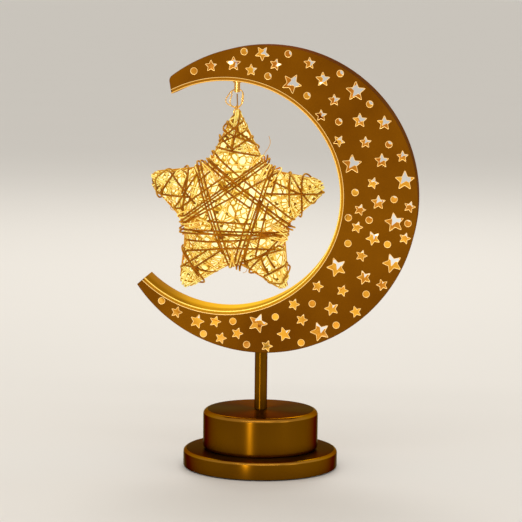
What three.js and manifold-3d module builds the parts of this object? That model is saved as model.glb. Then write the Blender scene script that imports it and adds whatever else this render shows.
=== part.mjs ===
// A moon and star night light: a pierced sheet-metal crescent on a stem, a wound star hanging
// in its opening, and batteries with a slide switch in its round base.
// Millimetres and degrees, +Z up, the front towards -Y, the stem's axis through x = 0, y = 0
// until the last lines move the middle of the underside to the origin.
import * as THREE from "three";
import { mergeVertices } from "three/addons/utils/BufferGeometryUtils.js";
import Module from "manifold-3d";

const wasm = await Module();
wasm.setup();

// Shared
const clearance = 0.3; // left between pieces that are cut or formed to fit each other
const sheet = 0.8; // steel sheet of the base and the moon

// Base shells
const footHeight = 2;
const footRadius = 4.5;
const footInset = 9; // of its axis from the disc's edge
const discStep = 14; // of the disc past the drum
const discTop = 13;
const discFillet = 2.5;
const rimLift = 1; // from the table to the disc's edge
const drumRoom = 4; // from the battery holder's corners to the drum's outside
const drumHeight = 28.2;
const drumTopFillet = 3.5;
const drumFootFillet = 3;
const drumFlangeWidth = 4.5; // flat ring turned in under the drum
const studRadius = 3;
const studInset = 6.5; // of its axis from the disc's edge

// Screws
const screwRadius = 1.5;
const screwHeadRadius = 2.8;
const screwHeadHeight = 1.6;
const coverScrewLength = 8;
const drumScrewLength = 6;

// Batteries and their holder
const cellCount = 3;
const cellRadius = 7.1;
const cellLength = 50.2;
const cellNubRadius = 2.75;
const cellNubLength = 1.3;
const cellGap = 0.4;
const contactRoom = 2.4; // at each end of a cell
const contactThickness = 0.4;
const contactWidth = 10;
const trayWall = 1.2;
const bottomPlateThickness = 2.4;
const doorThickness = 1.6;
const doorLap = 1.6; // of the door past the well's edge
const doorPinRadius = 0.6;
const doorPinLength = 2.2;
const doorTongueWidth = 12;
const doorTongueHeight = 2.4;
const doorTongueThickness = 0.9;

// Switch and circuit board
const switchGap = 10.3; // from the battery holder to the switch's middle
const switchWidth = 12;
const switchDepth = 6;
const switchHeight = 3.6;
const knobWidth = 2.4;
const knobDepth = 2;
const knobProud = 1; // below the bottom plate
const knobTravel = 2; // to each side
const boardWidth = 32;
const boardDepth = 10;
const boardThickness = 1.2;
const postRadius = 2;
const postSpacing = 26;

// Stem
const stemRadius = 4.5;
const stemLength = 43; // from the drum to the moon
const collarHeight = 1.2;
const pipeRadius = 3;
const pipeBore = 2;
const pipeReach = 10; // past the drum's and the moon's sheet, at each end
const washerRadius = 6;
const washerThickness = 1;
const nutRadius = 5.5; // to its corners
const nutHeight = 4;

// Way for the supply lead between the disc and the drum, left of the stem and at the back
const leadWayX = -11.5;
const leadWayWidth = 4.5;
const leadWayDepth = 6.5; // from the battery holder towards the back

// Moon
const moonRadius = 108;
const moonDepth = 36;
const moonOffset = 2; // of its centre from the stem's axis
const bandTop = 22.7; // the crescent's width over the opening
const bandSide = 52; // and at its full side
const openingZ = 2; // of the opening's centre over the moon's
const lowerHorn = -145.5; // bearing of its outer corner
const upperHorn = 128.5;
const lowerTip = 226; // bearing of its inner corner about the opening's centre
const upperTip = 117.5;
const hornRounding = 2.8; // of the upper horn's outer corner
const rimLip = 2.4; // how far the inner rim stands inside the plates' edge
const rimLap = 2; // how far its flanges reach behind the plates
const dotRadius = 2.15;
const largeStar = 6.8;
const mediumStar = 4.9;
const smallStar = 3.9;
const hornTool = 20; // reach of the tool that trims the rim at the horns
const starNotch = 0.45; // a cut-out's notches, as a share of its tips' reach

// Hanger and links
const hangerAside = 6.3; // from the opening's centre
const tubeRadius = 2.1;
const tubeBore = 1.3;
const tubeDrop = 0.096; // below the rim, as a share of the opening's radius
const tubeRise = 8; // above the rim
const shoulderRadius = 3;
const shoulderHeight = 1;
const hangerNutRadius = 4;
const hangerNutHeight = 2.5;
const eyeRadius = 0.8; // cross hole in the tube's lower end
const eyeRise = 1.8; // above the tube's end
const tieRadius = 0.4;
const tieReach = 0.143; // its length as a share of the opening's radius
const tieWide = 7.8; // its slack loop, left of the tube
const tieNarrow = 4.4; // and right of it
const linkY = -0.7; // the links hang in front of the lead inside the tube
const ringRadius = 2.1;

// Star
const frameRadius = 0.6;
const frameProud = 0.95; // of its top past the top arm
const frameInset = 4.5; // of its other corners inside the star's outline
const frameNeck = 2; // half the width of its neck at the top
const frameNeckLength = 13;
const frameRounding = 1.6;
const starFill = 0.84; // the top arm's reach as a share of the opening's radius
const notchShare = 0.515; // the notches' reach as a share of the top arm's
const rootShare = 0.45; // and where the winding of an arm starts
const armFlare = 1.4;
const tipBluntness = 12;
const webHalfDepth = 10.5;
const webWall = 1.5;
const webMouth = 3.4; // radius of the opening at the top tip
const webTop = 7; // how far below the tip the web ends there
const strandRadius = 0.6;
const strandLift = 0.5; // from the web to the winding
const strandGap = 0.85; // between layers of the winding
const armTurns = 1.25; // along each arm, and as many back
const armShare = 0.9; // how far towards the tip they go
const armSteps = 16; // for those turns
const bodyPasses = 20; // from notch to notch, over the front and the back in turn
const passSteps = 8;
const rimRise = 1.5; // layers under the first pass at a notch, over the arms' winding
const passSpacing = 2.9; // degrees between passes that share a notch

// Lights and wires
const tailGap = 1.1; // from the tube to the lead's tail, which swings with the star
const tailBack = 2.6; // it passes behind the ring
const moonLights = 12;
const starLights = 11;
const lightRadius = 1.5;
const wireRadius = 0.4;
const leadRadius = 1;
const thinLeadRadius = 0.5;
const leadFront = 0.5; // the thin lead runs behind the middle of the tube
const spliceRadius = 2;
const spliceLength = 10;

// Each arm of the star: its bearing, its reach as a share of the top arm's, and half the width of
// its blunt tip
const armForms = [[90, 1, 3.5], [160, 0.914, 6.5], [236, 0.943, 5.5], [303, 0.929, 5], [376, 0.914, 6.5]];

// Cut-outs: bearing about the moon's centre, share of the way across the band, and the
// direction of one tip; dots have no direction
const largeStars = [
  [-92, 0.31, -2], [-66, 0.82, 183], [-41.5, 0.2, 110], [-25, 0.85, 108], [-8.5, 0.71, 98],
  [9, 0.84, 90], [23, 0.18, 90], [50.5, 0.81, 90], [77, 0.28, -12],
];
const mediumStars = [
  [-118, 0.44, 0], [-80.5, 0.65, 180], [-57, 0.59, 180], [-36.5, 0.61, 180], [-18, 0.48, 185],
  [0, 0.47, 90], [19.5, 0.59, 90], [33.5, 0.84, 90], [40.5, 0.56, 90], [64.5, 0.64, 90],
  [91, 0.79, -90], [103, 0.49, 90],
];
const smallStars = [
  [-127, 0.45, 0], [-111, 0.27, 0], [-106.5, 0.76, 0], [-100.5, 0.55, 0], [-88, 0.85, 0],
  [-73, 0.18, 0], [-71.5, 0.5, 0], [-57, 0.17, 0], [-49.5, 0.86, 180], [-48, 0.49, 0],
  [-34.5, 0.88, 180], [-28.5, 0.42, 0], [-15, 0.23, 0], [-14, 0.89, 0], [-4.5, 0.23, 0],
  [-1.5, 0.89, 0], [10, 0.41, 0], [18.5, 0.88, 90], [30.5, 0.47, 90], [39, 0.13, 60],
  [55.5, 0.47, 90], [56.5, 0.13, 90], [72, 0.8, 18], [85.5, 0.56, 75], [96, 0.31, 90],
  [112, 0.54, 90],
];
const dots = [
  [-134.5, 0.36], [-113.5, 0.8], [-103.5, 0.21], [-96, 0.82], [-83.5, 0.26], [-74.5, 0.89],
  [-64, 0.34], [-59, 0.85], [-41.5, 0.78], [-26, 0.18], [-18.5, 0.69], [-10.5, 0.09],
  [-9.5, 0.37], [-8, 0.89], [1.5, 0.68], [6, 0.16], [25, 0.76], [43, 0.83], [47, 0.29],
  [59.5, 0.89], [68, 0.23], [81, 0.86], [88.5, 0.24], [98, 0.85], [119, 0.56],
];

// Finishes
const finish = (color, roughness, metalness) =>
  new THREE.MeshStandardMaterial({ color, roughness, metalness, flatShading: true });
const antiqueGold = finish(0x8a5a10, 0.35, 0.9);
const brass = finish(0xc89a3c, 0.3, 0.9);
const steel = finish(0xb8b8b4, 0.35, 0.9);
const blackPlastic = finish(0x222222, 0.6, 0);
const rubber = finish(0x2a2a2a, 0.9, 0);
const cellJacket = finish(0x35506e, 0.4, 0.2);
const boardGreen = finish(0x2d6a3a, 0.5, 0);
const clearWire = finish(0xcf9c52, 0.4, 0.5);
const warmLight = finish(0xfff0b0, 0.3, 0);
const paperWeb = finish(0xf6dd8a, 0.8, 0);
const rattan = finish(0x8a4a14, 0.7, 0);

// Geometry helpers
const radians = THREE.MathUtils.degToRad;

/** The closed mesh of a geometry as a solid that can be joined and cut. */
function solidOf(geometry) {
  const bare = geometry.clone();
  bare.deleteAttribute("normal");
  bare.deleteAttribute("uv");
  const merged = mergeVertices(bare, 1e-4);
  const mesh = new wasm.Mesh({
    numProp: 3,
    vertProperties: new Float32Array(merged.attributes.position.array),
    triVerts: new Uint32Array(merged.index.array),
  });
  return new wasm.Manifold(mesh);
}

/** A solid's surface as a geometry. */
function geometryOf(solid) {
  const mesh = solid.getMesh();
  const geometry = new THREE.BufferGeometry();
  const places = new Float32Array(mesh.vertProperties);
  geometry.setAttribute("position", new THREE.BufferAttribute(places, 3));
  geometry.setIndex(new THREE.BufferAttribute(new Uint32Array(mesh.triVerts), 1));
  return geometry;
}

/** One geometry of several that overlap. */
function join(...geometries) {
  return geometryOf(geometries.map(solidOf).reduce((whole, part) => whole.add(part)));
}

/** A geometry with every tool cut away. */
function cut(geometry, ...tools) {
  return geometryOf(tools.map(solidOf).reduce((whole, tool) => whole.subtract(tool), solidOf(geometry)));
}

/** A point at a radius and a bearing from a centre. */
function polar(radius, bearing, x = 0, y = 0) {
  const angle = radians(bearing);
  return new THREE.Vector2(x + radius * Math.cos(angle), y + radius * Math.sin(angle));
}

/** Points along a circle's arc, both ends included. */
function arc(x, y, radius, from, to, steps) {
  return Array.from({ length: steps + 1 }, (_, i) => polar(radius, from + ((to - from) * i) / steps, x, y));
}

/** A body of revolution about Z from a closed outline of (radius, height) points. */
function spun(outline, segments) {
  const points = THREE.ShapeUtils.area(outline) > 0 ? [...outline] : [...outline].reverse();
  return new THREE.LatheGeometry([...points, points[0]], segments).rotateX(Math.PI / 2);
}

/** An upright cylinder or ring. */
function drum(radius, from, to, sides, bore = 0) {
  const outline = [
    new THREE.Vector2(bore, from),
    new THREE.Vector2(radius, from),
    new THREE.Vector2(radius, to),
    new THREE.Vector2(bore, to),
  ];
  return spun(outline, sides);
}

/** A box by its limits. */
function block(x, y, z) {
  const size = [x, y, z].map(([low, high]) => high - low);
  const middle = [x, y, z].map(([low, high]) => (low + high) / 2);
  return new THREE.BoxGeometry(...size).translate(...middle);
}

/** A hexagonal nut. */
function nut(radius, bore, from, to) {
  return cut(drum(radius, from, to, 6), drum(bore, from - 1, to + 1, 16));
}

/** Limits of a span about a middle. */
const about = (middle, width) => [middle - width / 2, middle + width / 2];

/** A shape drawn in X and Z, between two places along Y. */
function panel(shape, from, to) {
  const geometry = new THREE.ExtrudeGeometry(shape, { depth: to - from, bevelEnabled: false });
  return geometry.rotateX(Math.PI / 2).translate(0, to, 0);
}

/** A round wire through points: radiusAt gives its radius at each of them. */
function strand(points, radiusAt, sides, closed = false) {
  const count = points.length;
  const places = [];
  const faces = [];
  const wrapped = (i) => (closed ? (i + count) % count : Math.min(Math.max(i, 0), count - 1));
  let across = null;
  points.forEach((point, i) => {
    const along = points[wrapped(i + 1)].clone().sub(points[wrapped(i - 1)]).normalize();
    if (!across) {
      across = Math.abs(along.y) < 0.7 ? new THREE.Vector3(0, 1, 0) : new THREE.Vector3(1, 0, 0);
    }
    across = across.clone().addScaledVector(along, -across.dot(along)).normalize();
    const third = along.clone().cross(across);
    for (let j = 0; j < sides; j += 1) {
      const angle = (2 * Math.PI * j) / sides;
      const place = point.clone();
      place.addScaledVector(across, radiusAt(i) * Math.cos(angle));
      place.addScaledVector(third, radiusAt(i) * Math.sin(angle));
      places.push(...place.toArray());
    }
  });
  for (let i = 0; i < (closed ? count : count - 1); i += 1) {
    for (let j = 0; j < sides; j += 1) {
      const a = i * sides + j;
      const b = i * sides + ((j + 1) % sides);
      const c = ((i + 1) % count) * sides + j;
      const d = ((i + 1) % count) * sides + ((j + 1) % sides);
      faces.push(a, b, d, a, d, c);
    }
  }
  if (!closed) {
    const last = (count - 1) * sides;
    for (let j = 1; j < sides - 1; j += 1) {
      faces.push(0, j + 1, j);
      faces.push(last, last + j, last + j + 1);
    }
  }
  const geometry = new THREE.BufferGeometry();
  geometry.setAttribute("position", new THREE.Float32BufferAttribute(places, 3));
  geometry.setIndex(faces);
  return geometry;
}

/** A lead of one thickness along a smooth curve through points. */
function lead(points, radius, steps, sides) {
  const path = new THREE.CatmullRomCurve3(points.map((p) => new THREE.Vector3(...p)), false, "centripetal");
  const section = new THREE.Shape(arc(0, 0, radius, 0, 360 - 360 / sides, sides - 1));
  return new THREE.ExtrudeGeometry(section, { extrudePath: path, steps, bevelEnabled: false });
}

/** A string of lights: a wire along route(0 to 1) that swells at each light. */
function lightString(route, lights) {
  const places = [];
  const radii = [];
  const length = new THREE.CatmullRomCurve3(
    Array.from({ length: 200 }, (_, i) => route(i / 199)),
  ).getLength();
  const put = (share, radius) => {
    places.push(route(share));
    radii.push(radius);
  };
  for (let k = 0; k < lights; k += 1) {
    const middle = (k + 0.5) / lights;
    put(middle - 0.4 / lights, wireRadius);
    put(middle - (1.4 * lightRadius) / length, wireRadius);
    put(middle - (0.7 * lightRadius) / length, lightRadius);
    put(middle + (0.7 * lightRadius) / length, lightRadius);
    put(middle + (1.4 * lightRadius) / length, wireRadius);
    put(middle + 0.4 / lights, wireRadius);
  }
  return strand(places, (i) => radii[i], 5);
}

/** A named mesh. */
function piece(name, geometry, material) {
  const mesh = new THREE.Mesh(geometry, material);
  mesh.name = name;
  return mesh;
}

/** A pan-head screw, its head's underside at 0 and its shank upwards. */
function screw(length) {
  const v = (r, z) => new THREE.Vector2(r, z);
  const outline = [
    v(0, -screwHeadHeight), v(screwHeadRadius * 0.8, -screwHeadHeight), v(screwHeadRadius, 0),
    v(screwRadius, 0), v(screwRadius, length), v(0, length),
  ];
  return spun(outline, 8);
}

/** Four places around the stem's axis. */
const around = (radius, first) =>
  [0, 1, 2, 3].map((i) => polar(radius, first + 90 * i));

// Sizes worked out from those above
const screwHole = screwRadius + clearance;
const wellWidth = cellCount * (2 * cellRadius + cellGap) + cellGap;
const wellLength = cellLength + 2 * contactRoom;
const trayWidth = wellWidth + 2 * trayWall;
const trayLength = wellLength + 2 * trayWall;
const plateTop = footHeight + bottomPlateThickness;
const cellAxis = plateTop - 0.2 + cellRadius;
const trayCeiling = cellAxis + cellRadius + clearance;
const trayTop = trayCeiling + trayWall;
const drumRadius = Math.hypot(trayWidth, trayLength) / 2 + drumRoom;
const drumTop = discTop + drumHeight;
const flangeInner = drumRadius - drumFootFillet - drumFlangeWidth - 3 * clearance;
const drumScrewPlace = (flangeInner + drumRadius - drumFootFillet) / 2;
const discRadius = drumRadius + discStep;
const studPlace = discRadius - studInset;
const footPlace = discRadius - footInset;
const switchPlace = trayLength / 2 + switchGap;
const leadWayY = (trayLength + leadWayDepth) / 2;
const leadWay = block(about(leadWayX, leadWayWidth), about(leadWayY, leadWayDepth), about(discTop, 6));
const trayHole = block(
  about(0, trayWidth + 2 * clearance), about(0, trayLength + 2 * clearance), about(discTop, 6),
);
const openingRadius = moonRadius - bandTop - openingZ;
const openingX = moonRadius - bandSide - openingRadius;
const hangerX = openingX + hangerAside;
const tieLength = tieReach * openingRadius;
const starReach = starFill * openingRadius;
const notchReach = notchShare * starReach;
const arms = armForms.map(([bearing, share, tip]) => ({ bearing, reach: share * starReach, tip }));
const frameReach = starReach + frameProud;

/** The base's two spun shells. */
function baseShells() {
  const v = (r, z) => new THREE.Vector2(r, z);
  const inner = discRadius - sheet;
  const discOutline = [
    v(0, discTop),
    ...arc(discRadius - discFillet, discTop - discFillet, discFillet, 90, 0, 3),
    v(discRadius, rimLift), v(inner, rimLift),
    ...arc(discRadius - discFillet, discTop - discFillet, discFillet - sheet, 0, 90, 2),
    v(0, discTop - sheet),
  ];
  const studs = around(studPlace, 0).map(({ x, y }) =>
    drum(studRadius, plateTop, discTop - sheet / 2, 12).translate(x, y, 0));
  const bores = around(studPlace, 0).map(({ x, y }) =>
    drum(screwHole, plateTop - 1, footHeight + coverScrewLength + clearance, 10).translate(x, y, 0));
  const holes = around(drumScrewPlace, 0).map(({ x, y }) =>
    drum(screwHole, discTop - 3, discTop + 3, 10).translate(x, y, 0));
  const disc = cut(join(spun(discOutline, 40), ...studs), ...bores, ...holes, trayHole, leadWay);
  const foot = discTop + drumFootFillet;
  const drumOutline = [
    v(pipeRadius + clearance, drumTop),
    ...arc(drumRadius - drumTopFillet, drumTop - drumTopFillet, drumTopFillet, 90, 0, 3),
    ...arc(drumRadius - drumFootFillet, foot, drumFootFillet, 0, -90, 2),
    v(flangeInner, discTop), v(flangeInner, discTop + sheet),
    ...arc(drumRadius - drumFootFillet, foot, drumFootFillet - sheet, -90, 0, 2),
    ...arc(drumRadius - drumTopFillet, drumTop - drumTopFillet, drumTopFillet - sheet, 0, 90, 2),
    v(pipeRadius + clearance, drumTop - sheet),
  ];
  const shell = cut(spun(drumOutline, 36), ...holes, trayHole, leadWay);
  return [piece("base_disc", disc, antiqueGold), piece("base_drum", shell, antiqueGold)];
}

/** The plastic bottom plate with its rebate for the door, hinge notches, switch slot and posts. */
function bottomPlate() {
  const radius = discRadius - sheet - clearance;
  const doorWidth = wellWidth + 2 * doorLap;
  const doorLength = wellLength + 2 * doorLap;
  const rebateTop = footHeight + doorThickness + 0.2;
  const hinge = -(doorLength - doorThickness) / 2;
  const rebate = block(
    about(0, doorWidth + 2 * clearance), about(0, doorLength + 2 * clearance), [0, rebateTop],
  );
  const well = block(about(0, wellWidth), about(0, wellLength), [0, plateTop + 1]);
  const notch = block(
    about(0, doorWidth + 2 * (doorPinLength + clearance)),
    about(hinge, 2 * (doorPinRadius + clearance)), [0, rebateTop],
  );
  const slot = block(
    about(0, knobWidth + 2 * knobTravel + 2 * clearance),
    about(switchPlace, knobDepth + 2 * clearance), [0, plateTop + 1],
  );
  const holes = around(studPlace, 0).map(({ x, y }) =>
    drum(screwHole, 0, plateTop + 1, 10).translate(x, y, 0));
  const posts = [-postSpacing / 2, postSpacing / 2].flatMap((x) => [
    drum(postRadius, plateTop - 0.5, plateTop + switchHeight, 10).translate(x, switchPlace, 0),
    drum(postRadius / 2, plateTop, plateTop + switchHeight + boardThickness + 0.6, 8)
      .translate(x, switchPlace, 0),
  ]);
  const plain = drum(radius, footHeight, plateTop, 40);
  return piece(
    "bottom_plate", join(cut(plain, rebate, well, notch, slot, ...holes), ...posts), blackPlastic,
  );
}

/** The door, hinged along its front edge: a plate with a round edge, two pins and a tongue. */
function batteryDoor() {
  const width = wellWidth + 2 * doorLap;
  const length = wellLength + 2 * doorLap;
  const half = doorThickness / 2;
  const side = [...arc(0, half, half, 270, 90, 6), new THREE.Vector2(length - half, doorThickness),
    new THREE.Vector2(length - half, 0)];
  const plate = new THREE.ExtrudeGeometry(new THREE.Shape(side), { depth: width, bevelEnabled: false });
  const basis = new THREE.Matrix4().makeBasis(
    new THREE.Vector3(0, 1, 0), new THREE.Vector3(0, 0, 1), new THREE.Vector3(1, 0, 0),
  );
  plate.applyMatrix4(basis).translate(-width / 2, 0, 0);
  const pinSpan = width / 2 + doorPinLength;
  const pins = drum(doorPinRadius, -pinSpan, pinSpan, 10).rotateY(Math.PI / 2).translate(0, 0, half);
  const tongueEnd = (wellLength + length) / 2 - half - clearance;
  const tongue = block(
    about(0, doorTongueWidth), [tongueEnd - doorTongueThickness, tongueEnd],
    [half, doorThickness + doorTongueHeight],
  );
  const door = piece("battery_door", join(plate, pins, tongue), blackPlastic);
  door.position.set(0, -(length / 2 - half), footHeight);
  return door;
}

/** The holder over the plate's well, with its three cells and four contacts. */
function batteries() {
  const shell = cut(
    block(about(0, trayWidth), about(0, trayLength), [plateTop, trayTop]),
    block(about(0, wellWidth), about(0, wellLength), [plateTop - 1, trayCeiling]),
  );
  const v = (r, z) => new THREE.Vector2(r, z);
  const bodyEnd = cellLength - cellNubLength;
  const cellOutline = [
    v(0, 0), v(cellRadius, 0), v(cellRadius, bodyEnd), v(cellNubRadius, bodyEnd),
    v(cellNubRadius, cellLength), v(0, cellLength),
  ];
  const pitch = 2 * cellRadius + cellGap;
  const columns = Array.from({ length: cellCount }, (_, i) => (i - (cellCount - 1) / 2) * pitch);
  const cells = columns.map((x, i) => {
    const cell = piece("cell_" + (i + 1), spun(cellOutline, 14), cellJacket);
    const turned = i % 2 === 0 ? -1 : 1;
    cell.rotation.x = (turned * Math.PI) / 2;
    cell.position.set(x, (turned * cellLength) / 2, cellAxis);
    return cell;
  });
  const wall = wellLength / 2;
  const contact = (name, end, middle, width, bumps) => {
    const face = block(
      about(middle, width), [wall - contactThickness, wall], about(cellAxis, contactWidth),
    );
    const bumpEnd = cellLength / 2 + clearance;
    const cones = bumps.map((x) =>
      new THREE.CylinderGeometry(cellNubRadius, 1.2, wall - 0.1 - bumpEnd, 10)
        .translate(x, (wall - 0.1 + bumpEnd) / 2, cellAxis));
    const mesh = piece(name, join(face, ...cones), steel);
    mesh.rotation.z = end === "back" ? 0 : Math.PI;
    return mesh;
  };
  const outer = columns[cellCount - 1];
  const contacts = [
    contact("contact_positive", "back", -outer, contactWidth, [-outer]),
    contact("contact_link_back", "back", outer / 2, outer + contactWidth, [0, outer]),
    contact("contact_link_front", "front", outer / 2, outer + contactWidth, [0, outer]),
    contact("contact_negative", "front", -outer, contactWidth, [-outer]),
  ];
  return [piece("battery_holder", shell, blackPlastic), ...cells, ...contacts];
}

/** The slide switch, its knob, and the board that it is soldered to. */
function switchAndBoard() {
  const slotWidth = knobWidth + 2 * knobTravel + 2 * clearance;
  const knobTop = plateTop + switchHeight - 1.2;
  const body = cut(
    block(about(0, switchWidth), about(switchPlace, switchDepth), [plateTop, plateTop + switchHeight]),
    block(
      about(0, slotWidth), about(switchPlace, knobDepth + 2 * clearance),
      [plateTop - 1, knobTop + clearance],
    ),
  );
  const knob = block(about(0, knobWidth), about(switchPlace, knobDepth), [footHeight - knobProud, knobTop]);
  const boardFloor = plateTop + switchHeight;
  const boardTop = boardFloor + boardThickness;
  const pegHoles = [-postSpacing / 2, postSpacing / 2].map((x) =>
    drum(postRadius / 2 + clearance, boardFloor - 1, boardTop + 1, 8).translate(x, switchPlace, 0));
  const board = join(
    cut(block(about(0, boardWidth), about(switchPlace, boardDepth), [boardFloor, boardTop]), ...pegHoles),
    block(about(0, 5), about(switchPlace, 4), [boardTop - 0.2, boardTop + 1.2]),
    drum(1.8, boardTop - 0.2, boardTop + 1.6, 10).translate(6, switchPlace + 2, 0),
  );
  return [
    piece("switch_body", body, blackPlastic),
    piece("switch_knob", knob, blackPlastic),
    piece("timer_board", board, boardGreen),
  ];
}

/** Feet and screws, each copy placed around the stem's axis. */
function feetAndScrews() {
  const copies = (name, geometry, material, radius, first, z) =>
    around(radius, first).map(({ x, y }, i) => {
      const copy = piece(name + "_" + (i + 1), geometry, material);
      copy.position.set(x, y, z);
      return copy;
    });
  return [
    ...copies("foot", drum(footRadius, 0, footHeight, 12), rubber, footPlace, 45, 0),
    ...copies("cover_screw", screw(coverScrewLength), steel, studPlace, 0, footHeight),
    ...copies("drum_screw", screw(drumScrewLength), steel, drumScrewPlace, 0, discTop - sheet),
  ];
}

// The moon's centre over the table
const sag = (x) => Math.sqrt(moonRadius ** 2 - x ** 2);
const moonZ = drumTop + stemLength + clearance + sag(moonOffset);
const moonFloor = moonZ - Math.sqrt((moonRadius - sheet) ** 2 - (moonOffset + washerRadius) ** 2);

/** The stem: a cover tube and collar clamped by nuts on a threaded pipe that carries the lead. */
function stem() {
  const bore = pipeRadius + clearance;
  const tubeEnd = drumTop + stemLength - collarHeight;
  const pipeFloor = drumTop - sheet - pipeReach;
  const pipeTop = moonFloor + pipeReach;
  const under = drumTop - sheet - washerThickness;
  const over = moonFloor + clearance;
  const seat = over + washerThickness;
  return [
    piece("threaded_pipe", drum(pipeRadius, pipeFloor, pipeTop, 16, pipeBore), steel),
    piece("stem_tube", drum(stemRadius, drumTop, tubeEnd, 20, bore), antiqueGold),
    piece("stem_collar", drum(stemRadius, tubeEnd, tubeEnd + collarHeight, 20, bore), brass),
    piece("lower_washer", drum(washerRadius, under, under + washerThickness, 16, bore), steel),
    piece("lower_nut", nut(nutRadius, bore, under - nutHeight, under), steel),
    piece("upper_washer", drum(washerRadius, over, over + washerThickness, 16, bore), steel),
    piece("upper_nut", nut(nutRadius, bore, seat, seat + nutHeight), steel),
  ];
}

/** Distance from the moon's centre to the opening's edge along a bearing. */
function bandStart(bearing) {
  const along = openingX * Math.cos(radians(bearing)) + openingZ * Math.sin(radians(bearing));
  return along + Math.sqrt(openingRadius ** 2 - openingX ** 2 - openingZ ** 2 + along ** 2);
}

/** A place on the band, from the opening's edge (0) to the moon's edge (1). */
function onBand(bearing, share) {
  const radius = THREE.MathUtils.lerp(bandStart(bearing), moonRadius, share);
  return polar(radius, bearing);
}

/** The outline of a cut-out star. */
function cutStar([bearing, share, turn], reach) {
  const middle = onBand(bearing, share);
  const points = Array.from({ length: 10 }, (_, i) =>
    polar(i % 2 ? reach * starNotch : reach, turn + 36 * i, middle.x, middle.y));
  return new THREE.Path(points);
}

// The crescent's corners and outline, in X and Z about the moon's centre
const lowerCorner = polar(moonRadius, lowerHorn);
const upperCorner = polar(moonRadius, upperHorn);
const lowerInner = polar(openingRadius, lowerTip, openingX, openingZ);
const upperInner = polar(openingRadius, upperTip, openingX, openingZ);
const roundingAngle = THREE.MathUtils.radToDeg(hornRounding / moonRadius);
const outerEdge = [
  ...arc(0, 0, moonRadius, lowerHorn, upperHorn - roundingAngle, 48),
  ...new THREE.QuadraticBezierCurve(
    polar(moonRadius, upperHorn - roundingAngle),
    upperCorner,
    upperCorner.clone().add(upperInner.clone().sub(upperCorner).setLength(hornRounding)),
  ).getPoints(3).slice(1),
];

/** A strip of sheet that follows a path, on the left of it. */
function ribbon(path, thickness) {
  const left = (a, b) => {
    const along = b.clone().sub(a).normalize();
    return new THREE.Vector2(-along.y, along.x);
  };
  const inner = path.map((point, i) => {
    const before = left(path[Math.max(i - 1, 0)], path[Math.max(i, 1)]);
    const after = left(path[Math.min(i, path.length - 2)], path[Math.min(i + 1, path.length - 1)]);
    const mitre = before.clone().add(after).divideScalar(1 + before.dot(after));
    return point.clone().addScaledVector(mitre, thickness);
  });
  return new THREE.Shape([...path, ...inner.reverse()]);
}

/** Part of a ring about the opening's centre, past both horns. */
function rimSector(inner, outer, from, to) {
  const past = 5; // degrees
  const shape = new THREE.Shape([
    ...arc(openingX, openingZ, outer, upperTip + past, lowerTip - 360 - past, 32),
    ...arc(openingX, openingZ, inner, lowerTip - 360 - past, upperTip + past, 32),
  ]);
  return panel(shape, from, to);
}

/** Everything on the right of a horn's end, which runs from one of its corners to the other. */
function pastHorn(from, to) {
  const along = to.clone().sub(from).setLength(hornTool);
  const outward = new THREE.Vector2(along.y, -along.x);
  const start = from.clone().sub(along);
  const end = to.clone().add(along);
  const shape = new THREE.Shape([start, start.clone().add(outward), end.clone().add(outward), end]);
  return panel(shape, -moonDepth, moonDepth);
}

/** The moon: two pierced plates, the strip round its edge and the channel round its opening. */
function moonShells() {
  const half = moonDepth / 2;
  const crescent = [...outerEdge, ...arc(openingX, openingZ, openingRadius, upperTip, lowerTip - 360, 36)];
  const bigCuts = [
    ...largeStars.map((star) => cutStar(star, largeStar)),
    ...mediumStars.map((star) => cutStar(star, mediumStar)),
  ];
  const front = new THREE.Shape(crescent);
  front.holes.push(
    ...bigCuts,
    ...smallStars.map((star) => cutStar(star, smallStar)),
    ...dots.map(([bearing, share]) => {
      const { x, y } = onBand(bearing, share);
      return new THREE.Path(arc(x, y, dotRadius, 0, 288, 4));
    }),
  );
  const back = new THREE.Shape(crescent);
  back.holes.push(...bigCuts);
  const tongue = rimLip - sheet - clearance;
  const returnEnd = (corner, inner) =>
    inner.clone().add(inner.clone().sub(corner).setLength(tongue));
  const stripPath = [
    returnEnd(lowerCorner, lowerInner), ...outerEdge, returnEnd(upperCorner, upperInner),
  ];
  const stemHole = drum(pipeRadius + clearance, -2 * sheet, 2 * sheet, 16)
    .translate(-moonOffset, 0, -sag(moonOffset));
  const webInner = openingRadius - rimLip;
  const flangeOuter = openingRadius + rimLap;
  const room = sheet + clearance;
  const strip = cut(
    panel(ribbon(stripPath, sheet), sheet - half, half - sheet),
    stemHole,
    rimSector(webInner - 1, flangeOuter + clearance, -half, room + sheet - half),
    rimSector(webInner - 1, flangeOuter + clearance, half - sheet - room, half),
  );
  const channel = join(
    rimSector(webInner, webInner + sheet, sheet - half, half - sheet),
    rimSector(webInner, flangeOuter, sheet - half, 2 * sheet - half),
    rimSector(webInner, flangeOuter, half - 2 * sheet, half - sheet),
  );
  const tubeHole = drum(tubeRadius + clearance, 0, moonRadius, 12).translate(hangerX, 0, 0);
  const rim = cut(
    channel, pastHorn(lowerInner, lowerCorner), pastHorn(upperCorner, upperInner), tubeHole,
  );
  return [
    piece("moon_front_plate", panel(front, -half, sheet - half), antiqueGold),
    piece("moon_back_plate", panel(back, half - sheet, half), antiqueGold),
    piece("outer_strip", strip, antiqueGold),
    piece("inner_rim", rim, brass),
  ];
}

// Heights about the moon's centre where the hanger passes through the rim's web
const webAt = (x, radius) => openingZ + Math.sqrt(radius ** 2 - (x - openingX) ** 2);
const webUnderside = Math.min(
  webAt(hangerX - shoulderRadius, openingRadius - rimLip),
  webAt(hangerX + shoulderRadius, openingRadius - rimLip),
);
const webUpside = webAt(openingX, openingRadius - rimLip + sheet);
const tubeFloor = webUnderside - tubeDrop * openingRadius;
const tubeCeiling = webUpside + tubeRise;

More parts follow.
